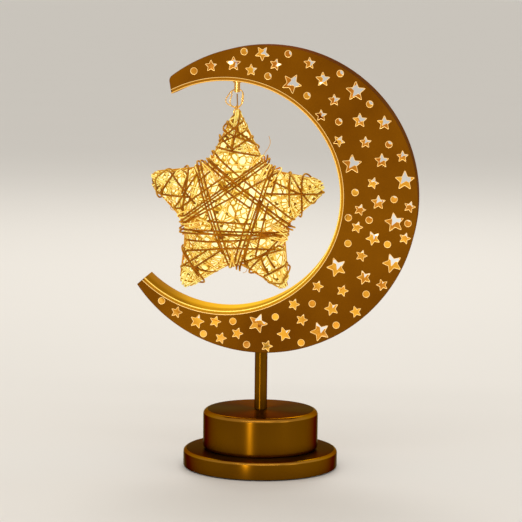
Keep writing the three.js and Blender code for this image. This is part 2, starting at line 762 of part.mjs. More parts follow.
/** The tube that the star hangs from, its nut, the thin lead inside it and the two splices. */
function hanger() {
  const tube = cut(
    join(
      drum(tubeRadius, tubeFloor, tubeCeiling, 12),
      drum(shoulderRadius, webUnderside - clearance - shoulderHeight, webUnderside - clearance, 12),
    ),
    drum(tubeBore, tubeFloor - 1, tubeCeiling + 1, 12),
    drum(eyeRadius, -4, 4, 10).rotateY(Math.PI / 2).translate(0, linkY, tubeFloor + eyeRise),
  );
  const nutFloor = webUpside + clearance;
  const holder = nut(hangerNutRadius, tubeRadius + clearance, nutFloor, nutFloor + hangerNutHeight);
  const stringY = moonDepth / 2 - sheet - clearance - lightRadius;
  const spliceY = stringY - lightRadius - clearance - spliceRadius;
  const splice = (bearing, near) => {
    const middle = onBand(bearing, 0.5);
    const geometry = drum(spliceRadius, 0, spliceLength, 12).rotateY(Math.PI / 2);
    return geometry.translate(near, spliceY, middle.y);
  };
  const starSpliceX = hangerX + 6;
  const starSpliceZ = onBand(100, 0.5).y;
  const starLead = lead([
    [starSpliceX - clearance, spliceY, starSpliceZ],
    [starSpliceX - 2.5, spliceY, starSpliceZ],
    [hangerX + 1, spliceY / 2, starSpliceZ + 1],
    [hangerX, leadFront + 1, tubeCeiling + 2.5],
    [hangerX, leadFront, tubeCeiling - 1],
    [hangerX, leadFront, (tubeFloor + tubeCeiling) / 2],
    [hangerX, leadFront, tubeFloor + 0.1],
  ], thinLeadRadius, 20, 8);
  const route = (share) => {
    const bearing = THREE.MathUtils.lerp(lowerHorn + 14, upperHorn - 12, share);
    const place = onBand(bearing, 0.5);
    return new THREE.Vector3(place.x, stringY, place.y);
  };
  return [
    piece("hanger_tube", tube.translate(hangerX, 0, 0), brass),
    piece("hanger_nut", holder.translate(hangerX, 0, 0), steel),
    piece("star_lead", starLead, clearWire),
    piece("star_splice", splice(100, starSpliceX), blackPlastic),
    piece("supply_splice", splice(-95, -moonOffset - 4 - spliceLength), blackPlastic),
    piece("moon_light_string", lightString(route, moonLights), warmLight),
  ];
}

/** The lead from the board through the pipe into the moon, and the two short battery leads. */
function wiring() {
  const boardTop = plateTop + switchHeight + boardThickness;
  const stringY = moonDepth / 2 - sheet - clearance - lightRadius;
  const spliceY = stringY - lightRadius - clearance - spliceRadius;
  const spliceZ = moonZ + onBand(-95, 0.5).y;
  const pipeTop = moonFloor + pipeReach;
  const supply = lead([
    [leadWayX, switchPlace - 1.5, boardTop + leadRadius + clearance],
    [leadWayX, switchPlace - 4.4, boardTop + leadRadius + clearance + 0.2],
    [leadWayX, leadWayY, discTop + 1],
    [leadWayX, leadWayY - 0.6, trayTop],
    [leadWayX / 1.5, leadWayY - 9, trayTop + 5],
    [leadWayX / 5, 6, trayTop + 6],
    [0, 0.5, drumTop - sheet - pipeReach - 1],
    [0, 0, drumTop],
    [0, 0, pipeTop - 1],
    [0, 1.5, pipeTop + 2.5],
    [-0.5, spliceY - 2, spliceZ],
    [-2.2, spliceY, spliceZ],
    [-4 + clearance, spliceY, spliceZ],
  ], leadRadius, 40, 8);
  const batteryLead = (x) => lead([
    [x, trayLength / 2 + clearance, plateTop + 5],
    [x, trayLength / 2 + 2, plateTop + 5.2],
    [x, switchPlace - boardDepth / 2 - 0.4, boardTop + 1.6],
    [x, switchPlace - boardDepth / 2 + 1.5, boardTop + wireRadius + clearance],
  ], 0.6, 7, 8);
  return [
    piece("supply_lead", supply, clearWire),
    piece("battery_lead_positive", batteryLead(8), rubber),
    piece("battery_lead_negative", batteryLead(12), rubber),
  ];
}

/** The angle from an arm to the notch on a side of it (-1 or 1). */
function notchAngle(index, side) {
  const next = arms[(index + side + arms.length) % arms.length].bearing;
  return THREE.MathUtils.euclideanModulo((next - arms[index].bearing) * side, 360) / 2;
}

/** A place in the star's plane at a radius and a bearing from its centre. */
function inStar(radius, bearing) {
  const { x, y } = polar(radius, bearing);
  return new THREE.Vector3(x, 0, y);
}

/** The tips and notches of a star drawn in by insets, from the first arm on. */
const starCorners = (tipInset, notchInset) =>
  arms.flatMap(({ bearing, reach }, index) => [
    inStar(reach - tipInset, bearing),
    inStar(notchReach - notchInset, bearing + notchAngle(index, 1)),
  ]);

/** A closed wire's points, with rounded corners. */
function roundedLoop(corners, rounding) {
  return corners.flatMap((corner, i) => {
    const before = corners[(i + corners.length - 1) % corners.length];
    const after = corners[(i + 1) % corners.length];
    const start = corner.clone().add(before.clone().sub(corner).setLength(rounding));
    const end = corner.clone().add(after.clone().sub(corner).setLength(rounding));
    return new THREE.QuadraticBezierCurve3(start, corner, end).getPoints(2);
  });
}

const frameLoop = roundedLoop([
  new THREE.Vector3(frameNeck, 0, frameReach - frameNeckLength),
  new THREE.Vector3(frameNeck, 0, frameReach),
  new THREE.Vector3(-frameNeck, 0, frameReach),
  new THREE.Vector3(-frameNeck, 0, frameReach - frameNeckLength),
  ...starCorners(frameInset, frameInset).slice(1),
], frameRounding);

// Heights of the links below the tube, over the table
const eyeZ = moonZ + tubeFloor + eyeRise;
const ringZ = eyeZ - tieLength - ringRadius + 2 * tieRadius + clearance;
const frameTop = ringZ - ringRadius + tieRadius + clearance + frameRadius;
const starX = moonOffset + hangerX;
const starZ = frameTop - Math.max(...frameLoop.map(({ z }) => z));

/** The tie of thin wire through the tube's eye, and the ring that hangs in it. */
function links() {
  const over = tubeRadius + 3 * tieRadius;
  const tiePath = new THREE.CatmullRomCurve3([
    [0, 0], [over, -0.7], [tieNarrow, -0.5 * tieLength], [0.75 * tieNarrow, -0.85 * tieLength],
    [0, -tieLength], [-0.6 * tieWide, -0.94 * tieLength], [-tieWide, -0.7 * tieLength],
    [-0.75 * tieWide, -0.3 * tieLength], [-over, -0.7],
  ].map(([x, z]) => new THREE.Vector3(x, linkY, z)), true, "centripetal");
  const tie = piece(
    "tie_loop", strand(tiePath.getPoints(27).slice(0, -1), () => tieRadius, 5, true), brass,
  );
  tie.position.set(starX, 0, eyeZ);
  const circle = arc(0, 0, ringRadius, 0, 337.5, 15).map(({ x, y }) => new THREE.Vector3(0, x, y));
  const ring = piece("star_ring", strand(circle, () => tieRadius, 5, true), brass);
  ring.position.set(starX, linkY, ringZ);
  return { tie, ring };
}

/** Half an arm's width at a distance from the star's centre, on a side (-1 or 1). */
function armHalfWidth(index, side, distance) {
  const { reach, tip } = arms[index];
  const notch = polar(notchReach, notchAngle(index, side));
  const share = THREE.MathUtils.clamp((distance - notch.x) / (reach - notch.x), 0, 1);
  const flared = tip + (notch.y - tip) * (1 - share) ** armFlare;
  return flared * Math.sqrt(1 - share ** tipBluntness);
}

/** The star's outline radius at an angle off an arm, on a side. */
function outlineRadius(index, side, off) {
  let low = polar(notchReach, notchAngle(index, side)).x;
  let high = arms[index].reach;
  for (let i = 0; i < 30; i += 1) {
    const middle = (low + high) / 2;
    if (armHalfWidth(index, side, middle) > middle * Math.tan(radians(off))) low = middle;
    else high = middle;
  }
  return low / Math.cos(radians(off));
}

/** The star's outline radius at a bearing. */
function outlineAt(bearing) {
  const found = arms.flatMap((arm, index) =>
    [-1, 1].map((side) => ({
      index, side, off: THREE.MathUtils.euclideanModulo((bearing - arm.bearing) * side, 360),
    }))).find(({ index, side, off }) => off <= notchAngle(index, side) + 1e-6);
  return outlineRadius(found.index, found.side, found.off);
}

/** A puffed star: its outline drawn in and its depth cut by inset. */
function puffedStar(inset) {
  const rows = 6;
  const rays = arms.flatMap((arm, index) =>
    [[-1, 1], [-1, 0.62], [-1, 0.34], [-1, 0.17], [1, 0], [1, 0.17], [1, 0.34], [1, 0.62]]
      .map(([side, share]) => {
        const off = notchAngle(index, side) * share;
        return { bearing: arm.bearing + side * off, radius: outlineRadius(index, side, off) - inset };
      }));
  const depth = webHalfDepth - inset;
  const places = [0, -depth, 0];
  for (let row = 1; row < rows; row += 1) {
    const tilt = Math.PI * (row / rows - 0.5);
    rays.forEach(({ bearing, radius }) => {
      const place = inStar(radius * Math.cos(tilt), bearing);
      places.push(place.x, depth * Math.sin(tilt), place.z);
    });
  }
  places.push(0, depth, 0);
  const count = rays.length;
  const backRow = 1 + (rows - 2) * count;
  const faces = [];
  for (let i = 0; i < count; i += 1) {
    const next = (i + 1) % count;
    faces.push(0, 1 + i, 1 + next);
    for (let a = 1 + i, b = 1 + next; a < backRow; a += count, b += count) {
      faces.push(a, a + count, b + count, a, b + count, b);
    }
    faces.push(backRow + i, backRow + count, backRow + next);
  }
  const geometry = new THREE.BufferGeometry();
  geometry.setAttribute("position", new THREE.Float32BufferAttribute(places, 3));
  geometry.setIndex(faces);
  return geometry;
}

/** How high a layer of the winding lies over the web. */
const layer = (number) => strandLift + strandRadius + number * (2 * strandRadius + strandGap);

/** A place round an arm: distance along it, angle round it from the front, and lift. */
function roundArm(index, distance, angle, lift) {
  const { bearing, reach } = arms[index];
  const round = polar(1, angle);
  const off = (armHalfWidth(index, round.y < 0 ? -1 : 1, distance) + lift) * round.y;
  const depth = webHalfDepth * Math.sqrt(1 - (distance / reach) ** 2) + lift;
  const along = polar(1, bearing);
  return new THREE.Vector3(
    distance * along.x - off * along.y, -depth * round.x, distance * along.y + off * along.x,
  );
}

/** The winding along one arm and back, from the notch before it to the notch after it. */
function armWinding(index) {
  const root = rootShare * starReach;
  const far = THREE.MathUtils.lerp(root, arms[index].reach, armShare);
  const turn = (index % 2 ? 360 : -360) * armTurns;
  const points = [];
  for (let i = 1; i <= 2 * armSteps; i += 1) {
    const back = i / armSteps - 1;
    const lift = layer(THREE.MathUtils.clamp(Math.min(4 * back, 9 - 10 * back), 0, 1));
    const distance = THREE.MathUtils.lerp(far, root, Math.abs(back));
    points.push(roundArm(index, distance, -90 + turn * (1 + back), lift));
  }
  return points;
}

/** One pass of the winding over the body, by its number: the front when even, else the back. */
function bodyPass(pass) {
  const corner = (visit) => {
    const index = THREE.MathUtils.euclideanModulo(2 * visit + 1, arms.length);
    const lap = Math.floor((visit + 1) / (2 * arms.length));
    const aside = passSpacing * (lap + 0.5) * (visit % 2 ? 1 : -1);
    const bearing = arms[index].bearing + notchAngle(index, 1) + aside;
    const rise = visit % 2 ? rimRise + 1 : rimRise;
    return { bearing, rise, place: inStar(outlineAt(bearing) + layer(rise), bearing) };
  };
  const from = corner(pass - 1);
  const to = corner(pass);
  const crossing = [0, 1, 0, 1, 2][Math.floor(pass / 2) % arms.length];
  const points = [];
  for (let i = 1; i <= passSteps; i += 1) {
    const rise = i <= 2 ? from.rise : i >= passSteps - 2 ? to.rise : crossing;
    const place = from.place.clone().lerp(to.place, (1 - Math.cos((Math.PI * i) / passSteps)) / 2);
    const bearing = THREE.MathUtils.radToDeg(Math.atan2(place.z, place.x));
    const share = Math.min(place.length() / (outlineAt(bearing) + layer(rise)), 1);
    place.y = (pass % 2 ? 1 : -1) * (webHalfDepth + layer(rise)) * Math.sqrt(1 - share ** 2);
    points.push(place);
  }
  return points;
}

/** The least gap between stretches of a round strand that lie well apart along it. */
function leastGap(points, radius) {
  const places = [];
  points.slice(1).forEach((point, i) => {
    for (let j = 0; j < 5; j += 1) places.push(points[i].clone().lerp(point, j / 5));
  });
  const along = [0];
  places.slice(1).forEach((place, i) => along.push(along[i] + place.distanceTo(places[i])));
  let least = Infinity;
  places.forEach((place, i) => {
    for (let j = i + 1; j < places.length; j += 1) {
      if (along[j] - along[i] > 10 * radius) least = Math.min(least, place.distanceTo(places[j]));
    }
  });
  return least - 2 * radius;
}

/** The star: its frame, hollow web, winding, lights and the lead's tail. */
function star() {
  const web = cut(
    puffedStar(0), puffedStar(webWall),
    drum(webMouth, starReach - frameNeckLength, starReach + 1, 12),
    block(about(0, 4 * webMouth), about(0, 2 * webHalfDepth), [starReach - webTop, starReach + 1]),
  );
  const route = arms.flatMap((_, index) => armWinding(index));
  const lastNotch = arms.length - 1;
  const aside = arms[lastNotch].bearing + notchAngle(lastNotch, 1) + passSpacing / 2;
  route.push(inStar(outlineAt(aside) + layer(0), aside));
  for (let pass = 0; pass < bodyPasses; pass += 1) route.push(...bodyPass(pass));
  console.log("winding: least gap to itself " + leastGap(route, strandRadius).toFixed(2) + " mm");
  const lightCorners = starCorners(frameInset + 4, frameInset + 3);
  lightCorners[0] = inStar(starReach - 2 * frameNeckLength, arms[0].bearing);
  const lightLoop = new THREE.CatmullRomCurve3(roundedLoop(lightCorners, 3), true);
  const lights = lightString((share) => lightLoop.getPoint(0.04 + 0.92 * share), starLights);
  const tailTop = moonZ + tubeFloor - tailGap - starZ;
  const ringTop = ringZ + ringRadius - starZ;
  const tail = lead([
    [0, leadFront, tailTop], [0, leadFront + 0.3, tailTop - 1.5], [0, tailBack, ringTop + 0.5],
    [0, tailBack, frameReach + 1], [0, 1.6, starReach - webTop], [0, 1.2, starReach - frameNeckLength - 1],
  ], thinLeadRadius, 14, 8);
  const group = new THREE.Group();
  group.position.set(starX, 0, starZ);
  group.add(
    piece("star_frame", strand(frameLoop, () => frameRadius, 5, true).translate(0, linkY, 0), brass),
    piece("star_web", web, paperWeb),
    piece("star_winding", strand(route, () => strandRadius, 5), rattan),
    piece("star_light_string", lights, warmLight),
    piece("star_lead_tail", tail, clearWire),
  );
  return group;
}

const root = new THREE.Group();
const moon = new THREE.Group();
moon.position.set(moonOffset, 0, moonZ);
moon.add(...moonShells(), ...hanger());
const { tie, ring } = links();
root.add(
  ...baseShells(), bottomPlate(), batteryDoor(), ...batteries(), ...switchAndBoard(),
  ...feetAndScrews(), ...stem(), ...wiring(), moon, tie, ring, star(),
);

// The middle of the underside becomes the origin
root.updateMatrixWorld(true);
const outline = new THREE.Box3().setFromObject(root, true);
root.position.set(-(outline.min.x + outline.max.x) / 2, -(outline.min.y + outline.max.y) / 2, 0);

export default root;
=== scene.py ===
"""Looks of a moon and star night light: a pierced gold crescent, its base and a lit star of wound fibre.

Shapes are worked out in millimetres in the lamp's own frame and scaled to metres when they are finished.
"""

import logging
import math
import random
from dataclasses import dataclass, field
from enum import Enum
from functools import cache
from typing import Any, Iterable, Sequence

import bmesh
import bpy
from mathutils import Matrix, Vector, noise


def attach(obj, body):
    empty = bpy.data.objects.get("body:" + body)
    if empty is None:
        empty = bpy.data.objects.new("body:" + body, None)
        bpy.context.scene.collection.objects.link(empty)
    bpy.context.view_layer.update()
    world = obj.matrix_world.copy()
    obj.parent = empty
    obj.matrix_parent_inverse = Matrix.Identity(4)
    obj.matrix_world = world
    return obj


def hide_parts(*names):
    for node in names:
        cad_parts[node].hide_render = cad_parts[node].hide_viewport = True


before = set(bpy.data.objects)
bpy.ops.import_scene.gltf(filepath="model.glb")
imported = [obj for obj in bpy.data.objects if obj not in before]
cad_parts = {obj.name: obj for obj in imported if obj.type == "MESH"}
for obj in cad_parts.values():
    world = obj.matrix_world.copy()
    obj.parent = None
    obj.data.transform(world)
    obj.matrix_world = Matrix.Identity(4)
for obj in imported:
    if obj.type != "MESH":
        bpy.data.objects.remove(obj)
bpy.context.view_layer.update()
log = logging.getLogger("night_light")

MM = 0.001
MERGE = 0.0005
STEM_X = -11.46
MOON_AT = (-9.46, 192.48)
STAR_AT = (-30.46, 184.01)
Colour = tuple[float, float, float]
Flat = tuple[float, float]


# Shader maths


class Value:
    """A socket that takes part in Python expressions, each of which adds its Math node."""

    def __init__(self, sheet: "NodeSheet", socket: bpy.types.NodeSocket) -> None:
        """Keep the sheet that new nodes go on, and the socket itself."""
        self.sheet = sheet
        self.socket = socket

    def __add__(self, other: "Value | float") -> "Value":
        """This plus another."""
        return self.sheet.math("ADD", self, other)

    __radd__ = __add__

    def __sub__(self, other: "Value | float") -> "Value":
        """This less another."""
        return self.sheet.math("SUBTRACT", self, other)

    def __rsub__(self, other: "Value | float") -> "Value":
        """Another less this."""
        return self.sheet.math("SUBTRACT", other, self)

    def __mul__(self, other: "Value | float") -> "Value":
        """This times another."""
        return self.sheet.math("MULTIPLY", self, other)

    __rmul__ = __mul__

    def ramped(self, low: float, high: float) -> "Value":
        """From 0 at low to 1 at high, smoothly, whichever of the two is larger."""
        node = self.sheet.node(
            "ShaderNodeMapRange",
            {"interpolation_type": "SMOOTHSTEP"},
            {"Value": self, "From Min": low, "From Max": high},
        )
        return Value(self.sheet, node.outputs["Result"])


class NodeSheet:
    """The node tree of one material."""

    def __init__(self, name: str) -> None:
        """Start a material of that name with nothing but its output."""
        self.material = bpy.data.materials.new(name)
        self.material.use_nodes = True
        self.tree = self.material.node_tree
        self.tree.nodes.clear()

    def node(self, kind: str, settings: dict[str, Any], inputs: dict[str | int, Any]) -> bpy.types.Node:
        """Add a node.

        Args:
            kind: The node's type.
            settings: What is set on the node first. "stops" gives a colour ramp's places and colours.
            inputs: Values or links of its sockets, by name or number.

        Returns:
            The new node.
        """
        made = self.tree.nodes.new(kind)
        for key, value in settings.items():
            if key == "stops":
                ramp = made.color_ramp
                while len(ramp.elements) < len(value):
                    ramp.elements.new(1.0)
                for element, (place, colour) in zip(ramp.elements, value):
                    element.position = place
                    element.color = (*colour, 1.0)
            else:
                setattr(made, key, value)
        for key, value in inputs.items():
            socket = made.inputs[key]
            if isinstance(value, Value):
                self.tree.links.new(value.socket, socket)
            elif isinstance(value, tuple) and len(value) == 3 and socket.type == "RGBA":
                socket.default_value = (*value, 1.0)
            else:
                socket.default_value = value
        return made

    def math(self, operation: str, *values: "Value | float") -> Value:
        """One Math node on values or numbers."""
        node = self.node("ShaderNodeMath", {"operation": operation}, dict(enumerate(values)))
        return Value(self, node.outputs[0])

    def place(self, centre: Flat = (0.0, 0.0)) -> Value:
        """Object coordinates in millimetres about a centre in X and Z."""
        source = self.node("ShaderNodeTexCoord", {}, {})
        mapping = self.node(
            "ShaderNodeMapping",
            {"vector_type": "POINT"},
            {
                "Vector": Value(self, source.outputs["Object"]),
                "Scale": (1 / MM, 1 / MM, 1 / MM),
                "Location": (-centre[0], 0.0, -centre[1]),
            },
        )
        return Value(self, mapping.outputs["Vector"])

    def parts(self, vector: Value) -> tuple[Value, Value, Value]:
        """A vector's three parts."""
        node = self.node("ShaderNodeSeparateXYZ", {}, {"Vector": vector})
        return tuple(Value(self, output) for output in node.outputs)

    def noise(self, vector: Value, size: float, detail: float = 2.0, stretch: float = 0.0) -> Value:
        """Soft noise from 0 to 1.

        Args:
            vector: Where it is read.
            size: Its features' size, in millimetres.
            detail: How many finer layers it has.
            stretch: How far it is bent out of place by itself.

        Returns:
            The noise.
        """
        node = self.node(
            "ShaderNodeTexNoise",
            {"noise_dimensions": "3D"},
            {"Vector": vector, "Scale": 1 / size, "Detail": detail, "Distortion": stretch},
        )
        return Value(self, node.outputs["Fac"])

    def cells(self, vector: Value, size: float) -> Value:
        """How far a place is from the nearest wall between cells of a size in millimetres."""
        node = self.node(
            "ShaderNodeTexVoronoi", {"feature": "DISTANCE_TO_EDGE"}, {"Vector": vector, "Scale": 1 / size}
        )
        return Value(self, node.outputs["Distance"])

    def length(self, vector: Value) -> Value:
        """A vector's length."""
        node = self.node("ShaderNodeVectorMath", {"operation": "LENGTH"}, {0: vector})
        return Value(self, node.outputs["Value"])

    def attribute(self, name: str) -> Value:
        """A number kept on the mesh under a name."""
        node = self.node("ShaderNodeAttribute", {"attribute_name": name}, {})
        return Value(self, node.outputs["Fac"])

    def mix(self, share: Value, low: "Value | Colour", high: "Value | Colour") -> Value:
        """A colour between two, by a share from 0 to 1."""
        node = self.node("ShaderNodeMix", {"data_type": "RGBA"}, {0: share, 6: low, 7: high})
        return Value(self, node.outputs[2])

    def scaled(self, colour: "Value | Colour", factor: Value) -> Value:
        """A colour times a number."""
        node = self.node(
            "ShaderNodeVectorMath", {"operation": "SCALE"}, {0: colour, "Scale": factor}
        )
        return Value(self, node.outputs[0])

    def ramp(self, share: Value, stops: Sequence[tuple[float, Colour]]) -> Value:
        """A colour from a row of stops, by a share from 0 to 1."""
        node = self.node("ShaderNodeValToRGB", {"stops": stops}, {"Fac": share})
        return Value(self, node.outputs["Color"])

    def bump(self, height: Value, depth: float) -> Value:
        """A surface normal bent by a height from 0 to 1 that stands for a depth in millimetres."""
        node = self.node("ShaderNodeBump", {}, {"Height": height, "Distance": depth * MM, "Strength": 1.0})
        return Value(self, node.outputs["Normal"])

    def close(self, inputs: dict[str, Any]) -> bpy.types.Material:
        """End with a Principled shader of these inputs, and give the material."""
        shader = self.node("ShaderNodeBsdfPrincipled", {}, inputs)
        output = self.node("ShaderNodeOutputMaterial", {}, {})
        self.tree.links.new(shader.outputs["BSDF"], output.inputs["Surface"])
        return self.material


# Finishes


@dataclass(frozen=True)
class Finish:
    """How a surface looks, and the slot of the record that it stands for."""

    name: str
    slot: str

    def build(self) -> bpy.types.Material:
        """Make the material."""
        raise NotImplementedError


@cache
def material(finish: Finish) -> bpy.types.Material:
    """The one material of a finish."""
    return finish.build()


@dataclass(frozen=True)
class Lacquer(Finish):
    """Lacquered or plain metal, with a little mottling, fine grain and smudges.

    Where it is spun, its gloss is drawn out across the turning marks.
    """

    light: Colour = (0.25, 0.098, 0.004)
    dark: Colour = (0.18, 0.064, 0.003)
    edge: Colour = (0.4, 0.3, 0.1)
    roughness: float = 0.32
    mottle: float = 70.0
    grain: float = 0.35
    relief: float = 0.003
    metal: float = 0.85
    shine: float = 0.15
    spin: float = 0.0
    spin_turn: float = 0.25
    # A glow, where one is set, is painted light.
    glow: Colour = (0.0, 0.0, 0.0)

    def build(self) -> bpy.types.Material:
        """Make the material."""
        sheet = NodeSheet(self.name)
        place = sheet.place()
        cloud = sheet.noise(place, self.mottle, 2.0)
        grain = sheet.noise(place, self.grain, 2.0)
        smudge = sheet.noise(place, self.mottle / 6, 4.0)
        share = (cloud * 0.8 + grain * 0.2).ramped(0.3, 0.7)
        return sheet.close(
            {
                "Base Color": sheet.mix(share, self.dark, self.light),
                "Metallic": self.metal,
                "Roughness": self.roughness + (smudge - 0.5) * 0.1 + (grain - 0.5) * 0.04,
                "Specular IOR Level": self.shine,
                "Specular Tint": (*self.edge, 1.0),
                "Anisotropic": self.spin,
                "Anisotropic Rotation": self.spin_turn,
                "Normal": sheet.bump(grain, self.relief),
                "Emission Color": self.glow,
                "Emission Strength": 1.0,
            }
        )


@dataclass(frozen=True)
class StarLit(Finish):
    """Metal round the opening, made bright by the star's light painted on as a glow: most below it, least
    above it.

    Its glow grows from a start to a full distance below the opening's middle, in millimetres, and at the
    front edge it is a share of what it is deeper in.
    """

    centre: Flat = (0.0, 0.0)
    base: Colour = (0.25, 0.095, 0.003)
    faint: Colour = (0.04, 0.012, 0.0)
    strong: Colour = (0.16, 0.1, 0.003)
    front: float = 1.0
    start: float = 0.0
    full: float = 82.0
    roughness: float = 0.45

    def build(self) -> bpy.types.Material:
        """Make the material."""
        sheet = NodeSheet(self.name)
        place = sheet.place(self.centre)
        x, y, z = sheet.parts(place)
        low = (x * 0.5 - z * 0.866).ramped(self.start, self.full)
        streak = sheet.noise(place, 16.0, 2.0)
        grain = sheet.noise(place, 0.5, 2.0)
        deep = self.front + y.ramped(-9.0, 2.0) * (1.0 - self.front)
        glow = sheet.mix(low, self.faint, self.strong)
        return sheet.close(
            {
                "Base Color": sheet.mix(streak, tuple(c * 0.7 for c in self.base), self.base),
                "Metallic": 1.0,
                "Roughness": self.roughness + (grain - 0.5) * 0.05,
                "Specular Tint": (0.9, 0.6, 0.2, 1.0),
                "Emission Color": sheet.scaled(glow, deep * (0.8 + streak * 0.4)),
                "Emission Strength": 1.0,
            }
        )


@dataclass(frozen=True)
class LitMetal(Finish):
    """Metal inside the crescent, with the light of the row of lights between its plates painted on as a glow.
    """

    centre: Flat = (0.0, 0.0)
    deep: Colour = (0.33, 0.12, 0.01)
    lit: Colour = (0.78, 0.44, 0.04)
    base: Colour = (0.3, 0.14, 0.02)
    lights: float = 12.0
    strength: float = 0.95

    def build(self) -> bpy.types.Material:
        """Make the material."""
        sheet = NodeSheet(self.name)
        place = sheet.place(self.centre)
        x, _, z = sheet.parts(place)
        turn = sheet.math("ARCTAN2", z, x)
        wave = sheet.math("SINE", turn * self.lights)
        streak = sheet.noise(place, 9.0, 3.0, 0.8)
        low = z.ramped(90.0, -90.0)
        share = (wave * 0.2 + streak * 0.8 + low * 0.3 - 0.1).ramped(0.15, 0.9)
        glow = sheet.mix(share, self.deep, self.lit)
        return sheet.close(
            {
                "Base Color": self.base,
                "Metallic": 1.0,
                "Roughness": 0.35 + streak * 0.15,
                "Emission Color": glow,
                "Emission Strength": self.strength,
            }
        )


@dataclass(frozen=True)
class Plain(Finish):
    """Moulded plastic, rubber, card or board: a quiet surface with a fine grain."""

    colour: Colour = (0.02, 0.02, 0.02)
    roughness: float = 0.5
    grain: float = 0.4
    relief: float = 0.02
    metal: float = 0.0
    glow: Colour = (0.0, 0.0, 0.0)

    def build(self) -> bpy.types.Material:
        """Make the material."""
        sheet = NodeSheet(self.name)
        place = sheet.place()
        grain = sheet.noise(place, self.grain, 3.0)
        cloud = sheet.noise(place, 14.0, 2.0)
        light = tuple(min(1.0, c * 1.25 + 0.004) for c in self.colour)
        dark = tuple(c * 0.75 for c in self.colour)
        return sheet.close(
            {
                "Base Color": sheet.mix(grain * 0.5 + cloud * 0.5, dark, light),
                "Metallic": self.metal,
                "Roughness": self.roughness + (grain - 0.5) * 0.15,
                "Normal": sheet.bump(grain, self.relief),
                "Emission Color": self.glow,
                "Emission Strength": 1.0,
            }
        )


@dataclass(frozen=True)
class Banded(Finish):
    """A cell's printed jacket: a coloured sleeve with a paler band round one end, along Y."""

    colour: Colour = (0.03, 0.07, 0.16)
    band: Colour = (0.5, 0.32, 0.08)
    band_from: float = 16.0

    def build(self) -> bpy.types.Material:
        """Make the material."""
        sheet = NodeSheet(self.name)
        place = sheet.place()
        _, y, _ = sheet.parts(place)
        grain = sheet.noise(place, 0.6, 2.0)
        share = y.ramped(self.band_from - 0.2, self.band_from + 0.2)
        return sheet.close(
            {
                "Base Color": sheet.mix(share, self.colour, self.band),
                "Metallic": 0.2,
                "Roughness": 0.32 + grain * 0.1,
            }
        )


@dataclass(frozen=True)
class Glow(Finish):
    """A small lit bead, with paler patches."""

    colour: Colour = (1.0, 0.78, 0.36)
    patch: Colour = (1.0, 0.9, 0.6)
    base: Colour = (0.9, 0.75, 0.45)
    strength: float = 3.0

    def build(self) -> bpy.types.Material:
        """Make the material."""
        sheet = NodeSheet(self.name)
        speck = sheet.noise(sheet.place(), 2.0, 2.0)
        return sheet.close(
            {
                "Base Color": self.base,
                "Roughness": 0.3,
                "Emission Color": sheet.mix(speck.ramped(0.3, 0.7), self.colour, self.patch),
                "Emission Strength": self.strength,
            }
        )


@dataclass(frozen=True)
class LitWeb(Finish):
    """The lit inner layers of the star: pale cells between crossing fibres, with dark gaps at the tips."""

    centre: Flat = (0.0, 0.0)
    cell: float = 5.5
    strength: float = 1.2

    def build(self) -> bpy.types.Material:
        """Make the material."""
        sheet = NodeSheet(self.name)
        place = sheet.place(self.centre)
        edge = sheet.cells(place, self.cell).ramped(0.03, 0.13)
        far = sheet.length(place).ramped(38.0, 66.0)
        gaps = (sheet.noise(place, 4.5, 1.0) + far * 0.16).ramped(0.7, 0.62)
        light = sheet.noise(place, 18.0, 1.0).ramped(0.3, 0.6)
        bright = (0.2 + edge * 0.8) * (0.75 + light * 0.25) * (1.0 - far * 0.1) * (0.06 + gaps * 0.94)
        colour = sheet.ramp(
            bright,
            [
                (0.0, (0.07, 0.022, 0.004)),
                (0.12, (0.2, 0.06, 0.004)),
                (0.34, (0.82, 0.44, 0.02)),
                (0.56, (0.98, 0.84, 0.18)),
                (0.95, (1.0, 0.96, 0.5)),
            ],
        )
        return sheet.close(
            {
                "Base Color": (0.2, 0.13, 0.02),
                "Roughness": 0.8,
                "Specular IOR Level": 0.05,
                "Emission Color": colour,
                "Emission Strength": self.strength,
                "Normal": sheet.bump(edge, 0.5),
            }
        )


@dataclass(frozen=True)
class Fibre(Finish):
    """A dry strand, lit from behind, with that light painted on as a glow: most on its outer side and near
    the star's middle.

    Its light and dark are the strand's own colours, and side is painted shade on its flanks. It glows in glow
    on its outer side, and in turned and turned_side where the star's edge turns away, turned_side being
    painted shade on the flanks there.
    """

    centre: Flat = (0.0, 0.0)
    light: Colour = (0.9, 0.6, 0.2)
    dark: Colour = (0.5, 0.2, 0.03)
    side: Colour = (0.5, 0.16, 0.01)
    glow: Colour = (1.0, 0.6, 0.15)
    turned: Colour = (0.85, 0.42, 0.05)
    turned_side: Colour = (0.55, 0.2, 0.01)
    strength: float = 0.6

    def build(self) -> bpy.types.Material:
        """Make the material."""
        sheet = NodeSheet(self.name)
        place = sheet.place(self.centre)
        patch = sheet.noise(place, 6.0, 3.0).ramped(0.3, 0.7)
        grain = sheet.noise(place, 0.5, 2.0)
        near = 1.0 - sheet.length(place).ramped(24.0, 75.0) * 0.25
        # How far each place faces out of the star: the flanks, which face less, take painted shade in colour
        # and glow.
        top = sheet.attribute("facing").ramped(0.45, 0.85)
        _, y, _ = sheet.parts(place)
        turned = sheet.math("ABSOLUTE", y).ramped(7.5, 3.0)
        base = sheet.mix(patch * 0.7 + grain * 0.3, self.dark, self.light)
        glow = sheet.mix(turned, sheet.mix(patch, self.dark, self.glow), self.turned)
        glow = sheet.mix(top, sheet.mix(turned, self.side, self.turned_side), glow)
        return sheet.close(
            {
                "Base Color": sheet.mix(top, self.side, base),
                "Roughness": 0.65,
                "Specular IOR Level": 0.05,
                "Emission Color": sheet.scaled(glow, near),
                "Emission Strength": self.strength,
                "Normal": sheet.bump(grain, 0.05),
            }
        )


